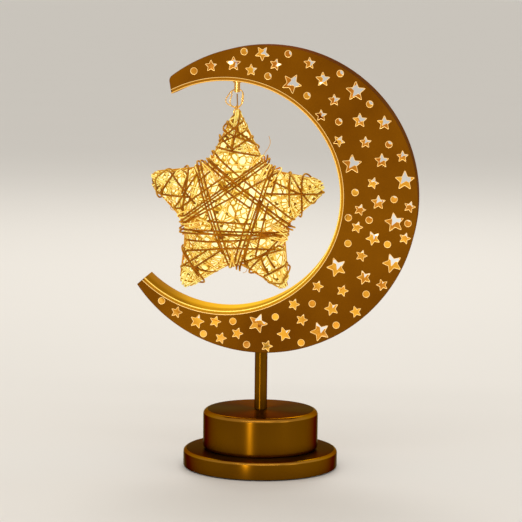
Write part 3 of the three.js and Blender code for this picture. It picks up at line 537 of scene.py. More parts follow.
@dataclass(frozen=True)
class FloorPaint(Finish):
    """The plain pale floor."""

    colour: Colour = (0.77, 0.74, 0.69)

    def build(self) -> bpy.types.Material:
        """Make the material."""
        sheet = NodeSheet(self.name)
        cloud = sheet.noise(sheet.place(), 300.0, 1.0)
        low = tuple(c * 0.985 for c in self.colour)
        return sheet.close({"Base Color": sheet.mix(cloud, low, self.colour), "Roughness": 0.75})


class Metals:
    """The lamp's metal finishes."""

    gold = Lacquer(
        "spun_gold_lacquer", "antique_gold", light=(0.19, 0.074, 0.001), dark=(0.13, 0.048, 0.001),
        edge=(0.3, 0.26, 0.08), roughness=0.3, metal=1.0, spin=0.8,
    )
    # A brighter, glossier gold for the upward slopes of the base's rounded edges: a painted highlight.
    painted_highlight = Lacquer(
        "gold_edge_painted_highlight", "antique_gold", light=(0.42, 0.19, 0.02), dark=(0.32, 0.13, 0.012),
        roughness=0.2, metal=1.0,
    )
    # Pale gold wire with a faint painted glow.
    wire = Lacquer(
        "pale_gold_wire_painted_glow", "brass", light=(0.85, 0.55, 0.16), dark=(0.6, 0.3, 0.05), edge=(0.9, 0.7, 0.35),
        roughness=0.25, mottle=5.0, glow=(0.16, 0.085, 0.015),
    )
    # The walls of the plates' cut-outs: a painted highlight and a painted glow of the lights inside.
    cut_edge_painted_glow = Lacquer(
        "cut_sheet_edge_painted_glow", "antique_gold", light=(0.9, 0.6, 0.2), dark=(0.7, 0.4, 0.08),
        edge=(1.0, 0.8, 0.4), mottle=8.0, glow=(0.6, 0.42, 0.16),
    )
    sheet_gold = Lacquer(
        "satin_gold_sheet", "antique_gold", light=(0.235, 0.082, 0.002), dark=(0.15, 0.046, 0.001),
        roughness=0.6,
    )
    edge_gold = Lacquer(
        "satin_gold_edge", "antique_gold", light=(0.2, 0.068, 0.003), dark=(0.13, 0.04, 0.002),
        edge=(0.3, 0.17, 0.03), roughness=0.5, metal=0.5, shine=0.0,
    )
    steel = Lacquer(
        "zinc_plated_steel", "steel", light=(0.62, 0.61, 0.58), dark=(0.42, 0.42, 0.41),
        edge=(0.9, 0.9, 0.9), roughness=0.35, mottle=6.0, metal=1.0,
    )


# Making pieces


def polar(radius: float, bearing: float, centre: Flat = (0.0, 0.0)) -> Flat:
    """The place at a radius and a bearing in degrees from a centre."""
    turn = math.radians(bearing)
    return centre[0] + radius * math.cos(turn), centre[1] + radius * math.sin(turn)


def arc(centre: Flat, radius: float, start: float, end: float, steps: int) -> list[Flat]:
    """Points along an arc, both ends among them."""
    return [polar(radius, start + (end - start) * i / steps, centre) for i in range(steps + 1)]


def rounded(corners: Sequence[Flat], radius: float, steps: int = 3) -> list[Flat]:
    """A closed outline with each corner turned into a small curve."""
    outline: list[Flat] = []
    for i, corner in enumerate(corners):
        here = Vector(corner)
        before, after = Vector(corners[i - 1]), Vector(corners[(i + 1) % len(corners)])
        start = here + (before - here).normalized() * radius
        end = here + (after - here).normalized() * radius
        for step in range(steps + 1):
            t = step / steps
            point = start.lerp(here, t).lerp(here.lerp(end, t), t)
            outline.append((point.x, point.y))
    return outline


def placed(name: str, data: bpy.types.ID) -> bpy.types.Object:
    """A new object of a mesh, curve, lamp or camera, in the scene."""
    thing = bpy.data.objects.new(name, data)
    bpy.context.scene.collection.objects.link(thing)
    return thing


class Piece:
    """A finished visible piece, made from a mesh in millimetres."""

    def __init__(self, name: str, body: str, finish: Finish, *nodes: str) -> None:
        """Name the piece, the body that it rides on, its finish and the nodes that it stands for."""
        self.name = name
        self.body = body
        self.finish = finish
        self.nodes = nodes

    def of_bmesh(self, shape: bmesh.types.BMesh, sharp: float = 35.0) -> bpy.types.Object:
        """Finish a piece from a bmesh.

        Args:
            shape: The shape, which is freed.
            sharp: Edges that turn by more than this many degrees stay sharp.

        Returns:
            The piece's object.
        """
        bmesh.ops.remove_doubles(shape, verts=shape.verts, dist=MERGE)
        bmesh.ops.recalc_face_normals(shape, faces=shape.faces)
        bmesh.ops.scale(shape, vec=(MM, MM, MM), verts=shape.verts)
        mesh = bpy.data.meshes.new(self.name)
        shape.to_mesh(mesh)
        shape.free()
        mesh.polygons.foreach_set("use_smooth", [True] * len(mesh.polygons))
        mesh.set_sharp_from_angle(angle=math.radians(sharp))
        mesh.materials.append(material(self.finish))
        piece = placed(self.name, mesh)
        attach(piece, self.body)
        if self.nodes:
            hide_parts(*self.nodes)
        log.info("%s: %d faces on %s", self.name, len(mesh.polygons), self.body)
        return piece

    def of_curve(self, curve: bpy.types.Curve, turn: Matrix, sharp: float = 35.0) -> bpy.types.Object:
        """Finish a piece from a curve in millimetres, turned into place."""
        return self.of_bmesh(bmesh_of(curve, turn), sharp)


def bmesh_of(curve: bpy.types.Curve, turn: Matrix) -> bmesh.types.BMesh:
    """The mesh of a curve, turned into place, as a bmesh. The curve is removed."""
    holder = placed(curve.name, curve)
    bpy.context.view_layer.update()
    graph = bpy.context.evaluated_depsgraph_get()
    mesh = bpy.data.meshes.new_from_object(holder.evaluated_get(graph), depsgraph=graph)
    shape = bmesh.new()
    shape.from_mesh(mesh)
    bmesh.ops.transform(shape, matrix=turn, verts=shape.verts)
    bpy.data.objects.remove(holder)
    bpy.data.curves.remove(curve)
    bpy.data.meshes.remove(mesh)
    return shape


def upright(y: float, x: float = 0.0, z: float = 0.0) -> Matrix:
    """Stands a flat shape up in the XZ plane, its middle at y."""
    return Matrix.Translation((x, y, z)) @ Matrix.Rotation(math.pi / 2, 4, "X")


def flat_curve(name: str, outlines: Iterable[Sequence[Flat]], thick: float, bevel: float) -> bpy.types.Curve:
    """A flat sheet with holes.

    Args:
        name: The curve's name.
        outlines: The outline and those of the holes.
        thick: The sheet's thickness.
        bevel: The small rounding along every edge.

    Returns:
        The curve, lying in its own XY plane with its middle at height 0.
    """
    curve = bpy.data.curves.new(name, "CURVE")
    curve.dimensions = "2D"
    curve.fill_mode = "BOTH"
    curve.extrude = thick / 2 - bevel
    curve.bevel_depth = bevel
    curve.bevel_resolution = 1
    curve.offset = -bevel
    for outline in outlines:
        spline = curve.splines.new("POLY")
        spline.points.add(len(outline) - 1)
        for point, (x, y) in zip(spline.points, outline):
            point.co = (x, y, 0.0, 1.0)
        spline.use_cyclic_u = True
    return curve


def strands(
    name: str, runs: Iterable[Sequence[Vector]], radius: float, sides: int,
    closed: bool = False, smooth: int = 1,
) -> bmesh.types.BMesh:
    """Round strands along runs of points.

    Args:
        name: A name for the working curve.
        runs: The points of each strand.
        radius: The strands' radius.
        sides: How many sides they have, an even number from 4 up.
        closed: Whether each strand ends where it starts.
        smooth: How many steps lie between two points.

    Returns:
        The tubes as one bmesh.
    """
    curve = bpy.data.curves.new(name, "CURVE")
    curve.dimensions = "3D"
    curve.fill_mode = "FULL"
    curve.bevel_depth = radius
    curve.bevel_resolution = (sides - 4) // 2
    curve.use_fill_caps = not closed
    curve.resolution_u = smooth
    for run in runs:
        if smooth > 1:
            spline = curve.splines.new("BEZIER")
            spline.bezier_points.add(len(run) - 1)
            for point, place in zip(spline.bezier_points, run):
                point.co = place
                point.handle_left_type = point.handle_right_type = "AUTO"
        else:
            spline = curve.splines.new("POLY")
            spline.points.add(len(run) - 1)
            for point, place in zip(spline.points, run):
                point.co = (*place, 1.0)
        spline.use_cyclic_u = closed
    return bmesh_of(curve, Matrix.Identity(4))


def ring_of(
    shape: bmesh.types.BMesh, places: Iterable[Sequence[float]]
) -> list[bmesh.types.BMVert | bmesh.types.BMEdge]:
    """New vertices at places, and the edges that join them into a ring."""
    verts = [shape.verts.new(place) for place in places]
    return [*verts, *(shape.edges.new((verts[i - 1], vert)) for i, vert in enumerate(verts))]


def spun(profile: Sequence[Flat], centre: Flat, steps: int) -> bmesh.types.BMesh:
    """A closed profile of radius and height spun round an upright axis.

    Args:
        profile: Its points.
        centre: The axis's place in X and Y.
        steps: Steps for the whole turn.

    Returns:
        The shape.
    """
    shape = bmesh.new()
    ring = ring_of(shape, ((centre[0] + r, centre[1], z) for r, z in profile))
    bmesh.ops.spin(
        shape, geom=ring, cent=(*centre, 0.0), axis=(0.0, 0.0, 1.0),
        angle=2 * math.pi, steps=steps, use_merge=True,
    )
    bmesh.ops.remove_doubles(shape, verts=shape.verts, dist=MERGE)
    return shape


def capped(shape: bmesh.types.BMesh, place: Vector, away: Vector, near: Vector, reach: float) -> None:
    """Cut a shape off along an upright plane and close the cut.

    Args:
        shape: The shape, which is changed.
        place: A place on the plane, in X and Z.
        away: The way out of the plane, towards what is cut off.
        near: The middle of the stretch that is cut.
        reach: How far from there anything is cut.
    """
    verts = [vert for vert in shape.verts if math.dist((vert.co.x, vert.co.z), near) < reach]
    known = set(verts)
    edges = [edge for edge in shape.edges if known.issuperset(edge.verts)]
    faces = [face for face in shape.faces if known.issuperset(face.verts)]
    cut = bmesh.ops.bisect_plane(
        shape, geom=verts + edges + faces, plane_co=(place.x, 0.0, place.y), plane_no=(away.x, 0.0, away.y),
        clear_outer=True,
    )
    rim = [item for item in cut["geom_cut"] if isinstance(item, bmesh.types.BMEdge)]
    bmesh.ops.edgeloop_fill(shape, edges=rim)


# The base and the stem


@dataclass
class Base:
    """The two spun steps, the stem and its collar."""

    x: float
    sheet: float = 0.8
    disc_radius: float = 55.0
    disc_top: float = 13.0
    disc_fillet: float = 2.5
    disc_floor: float = 1.0
    disc_hole: float = 37.6
    drum_radius: float = 41.0
    drum_top: float = 41.2
    drum_round: float = 3.5
    drum_flare: float = 3.0
    drum_inner: float = 32.6
    stem_radius: float = 4.5
    stem_top: float = 83.0
    collar_top: float = 84.2
    pipe_room: float = 3.3
    # The range of the normal's height over which the rounded edges take the painted highlight.
    painted_highlight: Flat = (0.25, 0.99)

    def build(self) -> None:
        """Make the disc and the drum, their rounded edges brighter where they slope upwards as a painted
        highlight, then the stem and the collar.
        """
        low, high = self.painted_highlight
        shells = [
            self.turned("base_disc_shell", "base_disc", self.disc(), 160),
            self.turned("base_drum_shell", "base_drum", self.drum(), 144),
        ]
        for shell in shells:
            shell.data.materials.append(material(Metals.painted_highlight))
            # Faces that slope upwards on the rounded edges take the brighter finish: a painted highlight.
            for face in shell.data.polygons:
                face.material_index = int(low < face.normal.z < high)
        self.turned("stem", "stem_tube", self.stem(), 48)
        self.turned("stem_ring", "stem_collar", self.collar(), 48)

    def turned(self, name: str, node: str, section: Sequence[Flat], steps: int) -> bpy.types.Object:
        """A gold piece spun round the base's axis, which stands for a node."""
        return Piece(name, "lamp", Metals.gold, node).of_bmesh(spun(section, (self.x, 0.0), steps))

    def disc(self) -> list[Flat]:
        """The lower step's section: a shell with a rounded edge, open under the drum."""
        fillet, edge = self.disc_fillet, self.disc_radius
        inner = edge - self.sheet
        turn = (edge - fillet, self.disc_top - fillet)
        return [
            (self.disc_hole, self.disc_top),
            *arc(turn, fillet, 90, 0, 10),
            (edge, self.disc_floor + 0.3), (edge - 0.15, self.disc_floor), (inner, self.disc_floor),
            *arc(turn, fillet - self.sheet, 0, 90, 8),
            (self.disc_hole, self.disc_top - self.sheet),
        ]

    def drum(self) -> list[Flat]:
        """The upper step's section, flared at its foot."""
        edge, top, foot = self.drum_radius, self.drum_top, self.disc_top + self.drum_flare
        high = (edge - self.drum_round, top - self.drum_round)
        low = (edge - self.drum_flare, foot)
        return [
            (self.pipe_room, top),
            *arc(high, self.drum_round, 90, 0, 12),
            *arc(low, self.drum_flare, 0, -90, 8),
            (self.drum_inner, self.disc_top), (self.drum_inner, self.disc_top + self.sheet),
            *arc(low, self.drum_flare - self.sheet, -90, 0, 6),
            *arc(high, self.drum_round - self.sheet, 0, 90, 8),
            (self.pipe_room, top - self.sheet),
        ]

    def stem(self) -> list[Flat]:
        """The stem's section: a tube with eased ends."""
        outer, inner = self.stem_radius, self.pipe_room
        low, high, ease = self.drum_top, self.stem_top, 0.25
        return [
            (inner, low), (outer - ease, low), (outer, low + ease),
            (outer, high - ease), (outer - ease, high), (inner, high),
        ]

    def collar(self) -> list[Flat]:
        """The collar's section, round on the outside."""
        outer, inner = self.stem_radius, self.pipe_room
        low, high = self.stem_top, self.collar_top
        middle = (low + high) / 2
        return [(inner, low), *arc((outer - 0.6, middle), 0.6, -90, 90, 6), (inner, high)]


# The crescent


class PlateFace(Enum):
    """A plate's faces, by their finish's place in its list of materials."""

    OUTSIDE = 0
    INSIDE = 1
    CUT = 2


class RimFace(Enum):
    """The channel's faces, by their finish's place in its list of materials."""

    LIP = 0
    INSIDE = 1
    WALL = 2
    CORNER = 3


@dataclass
class Crescent:
    """The hollow moon: two pierced plates, the strip round it and the bright channel round the opening."""

    centre: Flat
    radius: float = 108.0
    depth: float = 36.0
    sheet: float = 0.8
    opening: float = 83.3
    opening_at: Flat = (-27.3, 2.0)
    lower_horn: float = -145.5
    upper_horn: float = 128.5
    lower_tip: float = 226.0
    upper_tip: float = 117.5
    horn_rounding: float = 2.8
    lip: float = 2.4
    lap: float = 2.0
    gap: float = 0.3
    ease: float = 0.36
    dot: float = 2.15
    notch: float = 0.45
    string_y: float = 15.4
    lamps: int = 12
    lamp_size: tuple[float, float, float] = (1.2, 1.2, 1.9)
    lamp_wire: float = 0.35
    lamp_ends: Flat = (14.0, -12.0)
    past: float = 5.0
    channel_ease: float = 0.7
    cut_reach: float = 30.0
    faces_in: float = 0.9
    faces_aside: float = 0.97
    edge_margin: float = 1.0
    end_margin: float = 0.6
    sizes: dict[str, float] = field(default_factory=lambda: {"large": 6.8, "medium": 4.9, "small": 3.9})
    cuts: dict[str, list[tuple[float, float, float]]] = field(
        default_factory=lambda: {
            "large": [
                (-92, 0.31, -2), (-66, 0.82, 183), (-41.5, 0.2, 110), (-25, 0.85, 108), (-8.5, 0.71, 98),
                (9, 0.84, 90), (23, 0.18, 90), (50.5, 0.81, 90), (77, 0.28, -12),
            ],
            "medium": [
                (-118, 0.44, 0), (-80.5, 0.65, 180), (-57, 0.59, 180), (-36.5, 0.61, 180), (-18, 0.48, 185),
                (0, 0.47, 90), (19.5, 0.59, 90), (33.5, 0.84, 90), (40.5, 0.56, 90), (64.5, 0.64, 90),
                (91, 0.79, -90), (103, 0.49, 90),
            ],
            "small": [
                (-127, 0.45, 0), (-111, 0.27, 0), (-106.5, 0.76, 0), (-100.5, 0.55, 0), (-88, 0.85, 0),
                (-73, 0.18, 0), (-71.5, 0.5, 0), (-57, 0.17, 0), (-49.5, 0.86, 180), (-48, 0.49, 0),
                (-34.5, 0.88, 180), (-28.5, 0.42, 0), (-15, 0.23, 0), (-14, 0.89, 0), (-4.5, 0.23, 0),
                (-1.5, 0.89, 0), (10, 0.41, 0), (18.5, 0.88, 90), (30.5, 0.47, 90), (39, 0.13, 60),
                (55.5, 0.47, 90), (56.5, 0.13, 90), (72, 0.8, 18), (85.5, 0.56, 75), (96, 0.31, 90),
                (112, 0.54, 90),
            ],
        }
    )
    dots: list[Flat] = field(
        default_factory=lambda: [
            (-134.5, 0.36), (-113.5, 0.8), (-103.5, 0.21), (-96, 0.82), (-83.5, 0.26), (-74.5, 0.89),
            (-64, 0.34), (-59, 0.85), (-41.5, 0.78), (-26, 0.18), (-18.5, 0.69), (-10.5, 0.09),
            (-9.5, 0.37), (-8, 0.89), (1.5, 0.68), (6, 0.16), (25, 0.76), (43, 0.83), (47, 0.29),
            (59.5, 0.89), (68, 0.23), (81, 0.86), (88.5, 0.24), (98, 0.85), (119, 0.56),
        ]
    )

    def band(self, bearing: float, share: float) -> Flat:
        """A place on the band, from the opening's edge (0) to the moon's edge (1)."""
        turn = math.radians(bearing)
        x, z = self.opening_at
        along = x * math.cos(turn) + z * math.sin(turn)
        start = along + math.sqrt(self.opening**2 - x**2 - z**2 + along**2)
        return polar(start + (self.radius - start) * share, bearing)

    def star_cut(self, bearing: float, share: float, turn: float, reach: float) -> list[Flat]:
        """The outline of a star cut-out with slightly rounded corners."""
        middle = self.band(bearing, share)
        corners = [
            polar(reach * self.notch if i % 2 else reach, turn + 36 * i, middle) for i in range(10)
        ]
        return rounded(corners, reach * 0.09, 2)

    def openings(self) -> list[list[Flat]]:
        """The outlines of every cut-out."""
        stars = [
            self.star_cut(*cut, self.sizes[size]) for size, cuts in self.cuts.items() for cut in cuts
        ]
        return stars + [arc(self.band(*dot), self.dot, 0, 345, 23) for dot in self.dots]

    def corners(self) -> tuple[Vector, Vector, Vector, Vector]:
        """The horns' corners: lower outer and inner, then upper outer and inner."""
        return tuple(
            Vector(corner)
            for corner in (
                polar(self.radius, self.lower_horn),
                polar(self.opening, self.lower_tip, self.opening_at),
                polar(self.radius, self.upper_horn),
                polar(self.opening, self.upper_tip, self.opening_at),
            )
        )

    def outer_edge(self) -> list[Flat]:
        """The outside edge from the lower horn to the rounded corner of the upper one."""
        _, _, corner, inner = self.corners()
        turn = math.degrees(self.horn_rounding / self.radius)
        edge = arc((0.0, 0.0), self.radius, self.lower_horn, self.upper_horn - turn, 220)
        start = Vector(edge[-1])
        end = corner + (inner - corner).normalized() * self.horn_rounding
        for step in range(1, 6):
            t = step / 5
            point = start.lerp(corner, t).lerp(corner.lerp(end, t), t)
            edge.append((point.x, point.y))
        return edge

    def outline(self) -> list[Flat]:
        """The crescent's whole outline."""
        opening = arc(self.opening_at, self.opening, self.upper_tip, self.lower_tip - 360, 180)
        return [*self.outer_edge(), *opening]

    def build(self) -> None:
        """Make the plates, the strip and the channel."""
        x, z = self.centre
        half = self.depth / 2
        for name, node, y, inside in (
            ("front_plate", "moon_front_plate", self.sheet / 2 - half, 1),
            ("back_plate", "moon_back_plate", half - self.sheet / 2, -1),
        ):
            sheet = flat_curve(name, [self.outline(), *self.openings()], self.sheet, self.ease)
            piece = Piece(name, "lamp", Metals.sheet_gold, node).of_curve(sheet, upright(y, x, z), 15.0)
            self.dress_plate(piece, inside)
        self.strip()
        self.channel()
        self.lights()

    def dress_plate(self, plate: bpy.types.Object, inside: int) -> None:
        """Give a plate's inner face and the walls of its cut-outs their own finishes, each with the light of
        the lights inside painted on as a glow.

        Args:
            plate: The plate.
            inside: 1 where the crescent's inside lies towards +Y of it, else -1.
        """
        plate.data.materials.append(material(self.lit()))
        plate.data.materials.append(material(Metals.cut_edge_painted_glow))
        for face in plate.data.polygons:
            place = Vector((face.center.x, face.center.z)) / MM - Vector(self.centre)
            part = PlateFace.OUTSIDE
            if face.normal.y * inside > self.faces_in:
                part = PlateFace.INSIDE
            elif abs(face.normal.y) < self.faces_aside and not self.on_outside(place):
                part = PlateFace.CUT
            face.material_index = part.value

    def on_outside(self, place: Vector) -> bool:
        """Whether a place lies on the outside edge or on a horn's end."""
        lower, lower_inner, upper, upper_inner = self.corners()
        ends = [
            abs((place - near).cross((far - near).normalized()))
            for near, far in ((lower, lower_inner), (upper, upper_inner))
            if (place - near).length < 2 * (far - near).length
        ]
        on_end = min(ends, default=math.inf) < self.end_margin
        return on_end or place.length > self.radius - self.edge_margin

    def lights(self) -> None:
        """The row of small lights on a fine wire along the inside of the back plate."""
        start, end = self.lower_horn + self.lamp_ends[0], self.upper_horn + self.lamp_ends[1]
        x, z = self.centre

        def at(share: float) -> Vector:
            """A place along the row, from 0 to 1."""
            across, up = self.band(start + (end - start) * share, 0.5)
            return Vector((x + across, self.string_y, z + up))

        wire = strands("moon_light_wire", [[at(0.02 + i / 100) for i in range(97)]], self.lamp_wire, 6)
        Piece("moon_light_wire", "lamp", Metals.wire, "moon_light_string").of_bmesh(wire, 60.0)
        beads = bmesh.new()
        for number in range(self.lamps):
            middle = (number + 0.5) / self.lamps
            along = (at(middle + 0.01) - at(middle - 0.01)).normalized()
            turn = Vector((0.0, 0.0, 1.0)).rotation_difference(along).to_matrix().to_4x4()
            shape = Matrix.Translation(at(middle)) @ turn @ Matrix.Diagonal((*self.lamp_size, 1.0))
            bmesh.ops.create_uvsphere(beads, u_segments=14, v_segments=9, radius=1.0, matrix=shape)
        Piece("moon_light_beads", "lamp", Glow("warm_bead", "warm_light")).of_bmesh(beads, 60.0)

    def lit(self) -> LitMetal:
        """The finish of what the lights inside shine on, their light painted on as a glow."""
        return LitMetal("lit_crescent_inside", "antique_gold", centre=self.centre)

    def strip(self) -> None:
        """The strip of sheet round the outside and over the horns' blunt ends."""
        lower, lower_inner, upper, upper_inner = self.corners()
        tongue = self.lip - self.sheet - self.gap
        start = lower_inner + (lower_inner - lower).normalized() * tongue
        end = upper_inner + (upper_inner - upper).normalized() * tongue
        path = [start, *(Vector(point) for point in self.outer_edge()), end]
        inner: list[Flat] = []
        for i, point in enumerate(path):
            before = (path[max(i, 1)] - path[max(i - 1, 0)]).normalized()
            after = (path[min(i + 1, len(path) - 1)] - path[min(i, len(path) - 2)]).normalized()
            left, right = Vector((-before.y, before.x)), Vector((-after.y, after.x))
            mitre = (left + right) / (1 + left.dot(right))
            moved = point + mitre * self.sheet
            inner.append((moved.x, moved.y))
        outline = [(point.x, point.y) for point in path] + inner[::-1]
        sheet = flat_curve("edge_strip", [outline], self.depth - 2 * self.sheet, 0.05)
        piece = Piece("edge_strip", "lamp", Metals.edge_gold, "outer_strip")
        strip = piece.of_curve(sheet, upright(0.0, *self.centre), 15.0)
        # The strip's inner faces take the painted glow of the lights inside.
        strip.data.materials.append(material(self.lit()))
        hub = Vector((self.centre[0], 0.0, self.centre[1])) * MM
        for face in strip.data.polygons:
            face.material_index = int(face.normal.dot((face.center - hub).normalized()) < -0.5)

    def channel(self) -> None:
        """The channel round the opening, cut off along the horns' ends, made bright by the star's light
        painted on it.
        """
        inner = self.opening - self.lip
        outer = self.opening + self.lap
        half = self.depth / 2 - self.sheet
        ease = self.channel_ease
        section = [
            (inner + self.sheet, half - self.sheet), (outer, half - self.sheet), (outer, half),
            *arc((inner + ease, half - ease), ease, 90, 180, 4),
            *arc((inner + ease, ease - half), ease, 180, 270, 4),
            (outer, -half), (outer, self.sheet - half), (inner + self.sheet, self.sheet - half),
        ]
        x, z = self.opening_at
        start = math.radians(self.lower_tip - 360 - self.past)
        sweep = math.radians(self.upper_tip - self.lower_tip + 360 + 2 * self.past)
        shape = bmesh.new()
        ring = ring_of(shape, ((x + r * math.cos(start), y, z + r * math.sin(start)) for r, y in section))
        bmesh.ops.spin(
            shape, geom=ring, cent=(x, 0.0, z), axis=(0.0, -1.0, 0.0), angle=sweep, steps=220,
        )
        lower, lower_inner, upper, upper_inner = self.corners()
        for near, far, horn in ((lower_inner, lower, lower_inner), (upper, upper_inner, upper_inner)):
            along = (far - near).normalized()
            capped(shape, near, Vector((along.y, -along.x)), horn, self.cut_reach)
        bmesh.ops.translate(shape, vec=(self.centre[0], 0.0, self.centre[1]), verts=shape.verts)
        middle = (self.centre[0] + x, self.centre[1] + z)
        lip = StarLit("star_lit_lip", "brass", centre=middle)
        rim = Piece("opening_channel", "lamp", lip, "inner_rim").of_bmesh(shape, 25.0)
        wall = StarLit(
            "star_lit_wall", "brass", centre=middle, base=(0.3, 0.14, 0.01), faint=(0.12, 0.04, 0.002),
            strong=(0.76, 0.44, 0.015), front=0.3, start=30.0,
        )
        # The rounded corners take a very bright gold: a painted highlight, with the star's light painted on
        # as a glow.
        corner = StarLit(
            "star_lit_corner_painted_highlight", "brass", centre=middle, base=(0.95, 0.58, 0.14), faint=(0.4, 0.22, 0.05),
            strong=(0.6, 0.46, 0.07), start=-20.0,
        )
        for finish in (self.lit(), wall, corner):
            rim.data.materials.append(material(finish))
        hub = Vector((middle[0], 0.0, middle[1])) * MM
        for face in rim.data.polygons:
            away = face.center - hub
            away.y = 0.0
            outwards = face.normal.dot(away.normalized())
            part = RimFace.LIP
            if outwards > 0.5:
                part = RimFace.INSIDE
            elif outwards < -self.faces_aside:
                part = RimFace.WALL
            elif outwards < -0.1:
                part = RimFace.CORNER
            face.material_index = part.value


# The star


class Face(Enum):
    """The star's two faces, by the way that each looks along Y."""

    FRONT = -1
    BACK = 1


@dataclass(frozen=True)
class Arm:
    """One arm of the star: its bearing, its reach and half the width of its blunt tip."""

    bearing: float
    reach: float
    tip: float


@dataclass(eq=False)
class Star:
    """The hanging star of wound fibre: its lit web, the thick winding and the finer strands."""

    centre: Flat
    reach: float = 69.97
    notch_reach: float = 36.04
    half_depth: float = 10.5
    flare: float = 1.4
    bluntness: float = 12.0
    strand: float = 0.6
    lift: float = 0.5
    gap: float = 0.85
    turns: float = 1.25
    root: float = 31.49
    share: float = 0.9
    steps: int = 16
    passes: int = 20
    pass_steps: int = 8
    rise: float = 1.5
    spacing: float = 2.9
    web_inset: float = 0.4
    web_steps: tuple[int, int] = (200, 28)
    lumps: tuple[Flat, ...] = ((2.3, 0.45), (6.0, 0.5))
    thick_radius: float = 0.65
    laid_radius: float = 0.68
    edge_radius: float = 0.58
    pale_radius: float = 0.55
    amber_radius: float = 0.38
    stray_radius: float = 0.2
    pale_lift: Flat = (0.0, 0.9)
    amber_lift: Flat = (0.6, 1.5)
    free_passes: int = 8
    wraps: tuple[tuple[int, int], ...] = ((1, 5), (-1, 4))
    wrap_root: float = 0.6
    wrap_tilt: float = 4.5
    wrap_steps: int = 12
    tip_runs: int = 4
    notch_runs: int = 8
    notch_lift: float = 4.6
    most_tries: int = 4000
    edge_zone: float = 7.0
    tuck: float = 2.6
    tuck_in: float = 0.86
    tuck_back: float = 0.55
    forms: tuple[tuple[float, float, float], ...] = (
        (90, 1, 3.5), (160, 0.914, 6.5), (236, 0.943, 5.5), (303, 0.929, 5), (376, 0.914, 6.5),
    )
    lines: tuple[tuple[Any, ...], ...] = (
        ((-17.4, 41.2), (40.7, -5.9)), ((-19.8, 36.0), (38.3, -9.4)), ((-39.5, 0.7), (-5.2, 25.6)),
        ((-24.6, 21.4), (-13.0, 31.3)), ((-36.1, -4.6), (18.0, 34.7)), ((-34.9, -9.2), (29.7, 27.2)),
        ((-28.5, 31.0), (-8.6, -30.3), 2.0), ((-33.8, 24.1), (-37.2, 12.0)),
        ((-35.5, -21.6), (33.1, -15.8), 2.5), ((-33.2, -14.2), (34.1, -14.4), 3.0),
        ((-33.9, -29.4), (28.4, -27.1), -1.5), ((13.9, 9.5), (0.3, -35.0)), ((18.3, 7.2), (7.1, -35.0)),
        ((23.7, 4.9), (14.9, -33.5)), ((-10.9, 17.8), (10.6, 2.7)), ((-18.5, -7.6), (10.7, -9.0)),
        ((30.2, 27.2), (26.0, 11.7)), ((38.4, 27.3), (38.7, 4.2)), ((23.1, 12.6), (58.0, 12.3)),
        ((23.9, 22.3), (47.3, 12.1)), ((2.2, 64.3), (-2.4, 42.1)), ((-12.2, 52.5), (-1.9, 43.1)),
        ((-1.9, 43.1), (11.5, 52.0)), ((-14.1, 44.3), (16.0, 38.6)), ((-7.0, 62.0), (13.0, 47.6)),
        ((4.5, 62.4), (-12.2, 49.0)),
        ((-43.6, 25.9), (-52.8, 11.1)), ((-45.0, 24.9), (-28.3, 4.8)), ((-52.3, 10.2), (-33.2, 9.1)),
        ((-36.9, -28.0), (-26.0, -46.8)), ((-29.9, -42.0), (-8.6, -27.9)), ((-38.7, -41.3), (-20.3, -29.1)),
        ((19.2, -33.6), (23.7, -43.7)), ((23.6, -31.6), (28.5, -39.7)), ((20.9, -46.7), (37.2, -37.6)),
        ((9.1, -36.3), (31.3, -24.6)),
    )
    strays: tuple[tuple[tuple[float, float, float], ...], ...] = (
        ((18, -4, 36), (20.6, -3.6, 41), (23, -3, 44.6), (24, -2.2, 48.2), (23, -1.6, 52.4)),
        ((15, -5, -35.5), (12, -4.4, -40.4), (9, -3.6, -41.8), (7.6, -3, -44.2), (5.6, -2.6, -45)),
        ((-35.5, -4, 2.6), (-39, -3.6, 0.2), (-43, -3, -1.2), (-46.2, -2.6, -0.4), (-46.6, -2.4, 1.2)),
        ((-4, -4, 57), (-7.6, -4.4, 58.8), (-9.6, -3, 56.6), (-7.4, -2, 54)),
    )

    def __post_init__(self) -> None:
        """Work out the arms."""
        self.arms = [Arm(bearing, share * self.reach, tip) for bearing, share, tip in self.forms]
        self.chance = random.Random(7)

    def notch_angle(self, index: int, side: int) -> float:
        """The angle from an arm to the notch on a side of it."""
        other = self.arms[(index + side) % len(self.arms)].bearing
        return ((other - self.arms[index].bearing) * side % 360) / 2

    def half_width(self, index: int, side: int, distance: float) -> float:
        """Half an arm's width at a distance from the star's centre, on a side."""
        arm = self.arms[index]
        x, y = polar(self.notch_reach, self.notch_angle(index, side))
        share = min(max((distance - x) / (arm.reach - x), 0.0), 1.0)
        flared = arm.tip + (y - arm.tip) * (1 - share) ** self.flare
        return flared * math.sqrt(1 - share**self.bluntness)

    @cache
    def outline_at(self, bearing: float) -> float:
        """The outline's radius at a bearing."""
        for index, arm in enumerate(self.arms):
            for side in (-1, 1):
                off = (bearing - arm.bearing) * side % 360
                if off <= self.notch_angle(index, side) + 1e-6:
                    low = polar(self.notch_reach, self.notch_angle(index, side))[0]
                    high = arm.reach
                    for _ in range(30):
                        middle = (low + high) / 2
                        if self.half_width(index, side, middle) > middle * math.tan(math.radians(off)):
                            low = middle
                        else:
                            high = middle
                    return low / math.cos(math.radians(off))
        raise ValueError(f"no arm at {bearing}")

    def layer(self, number: float) -> float:
        """How high a layer of the thick winding lies over the web."""
        return self.lift + self.strand + number * (2 * self.strand + self.gap)

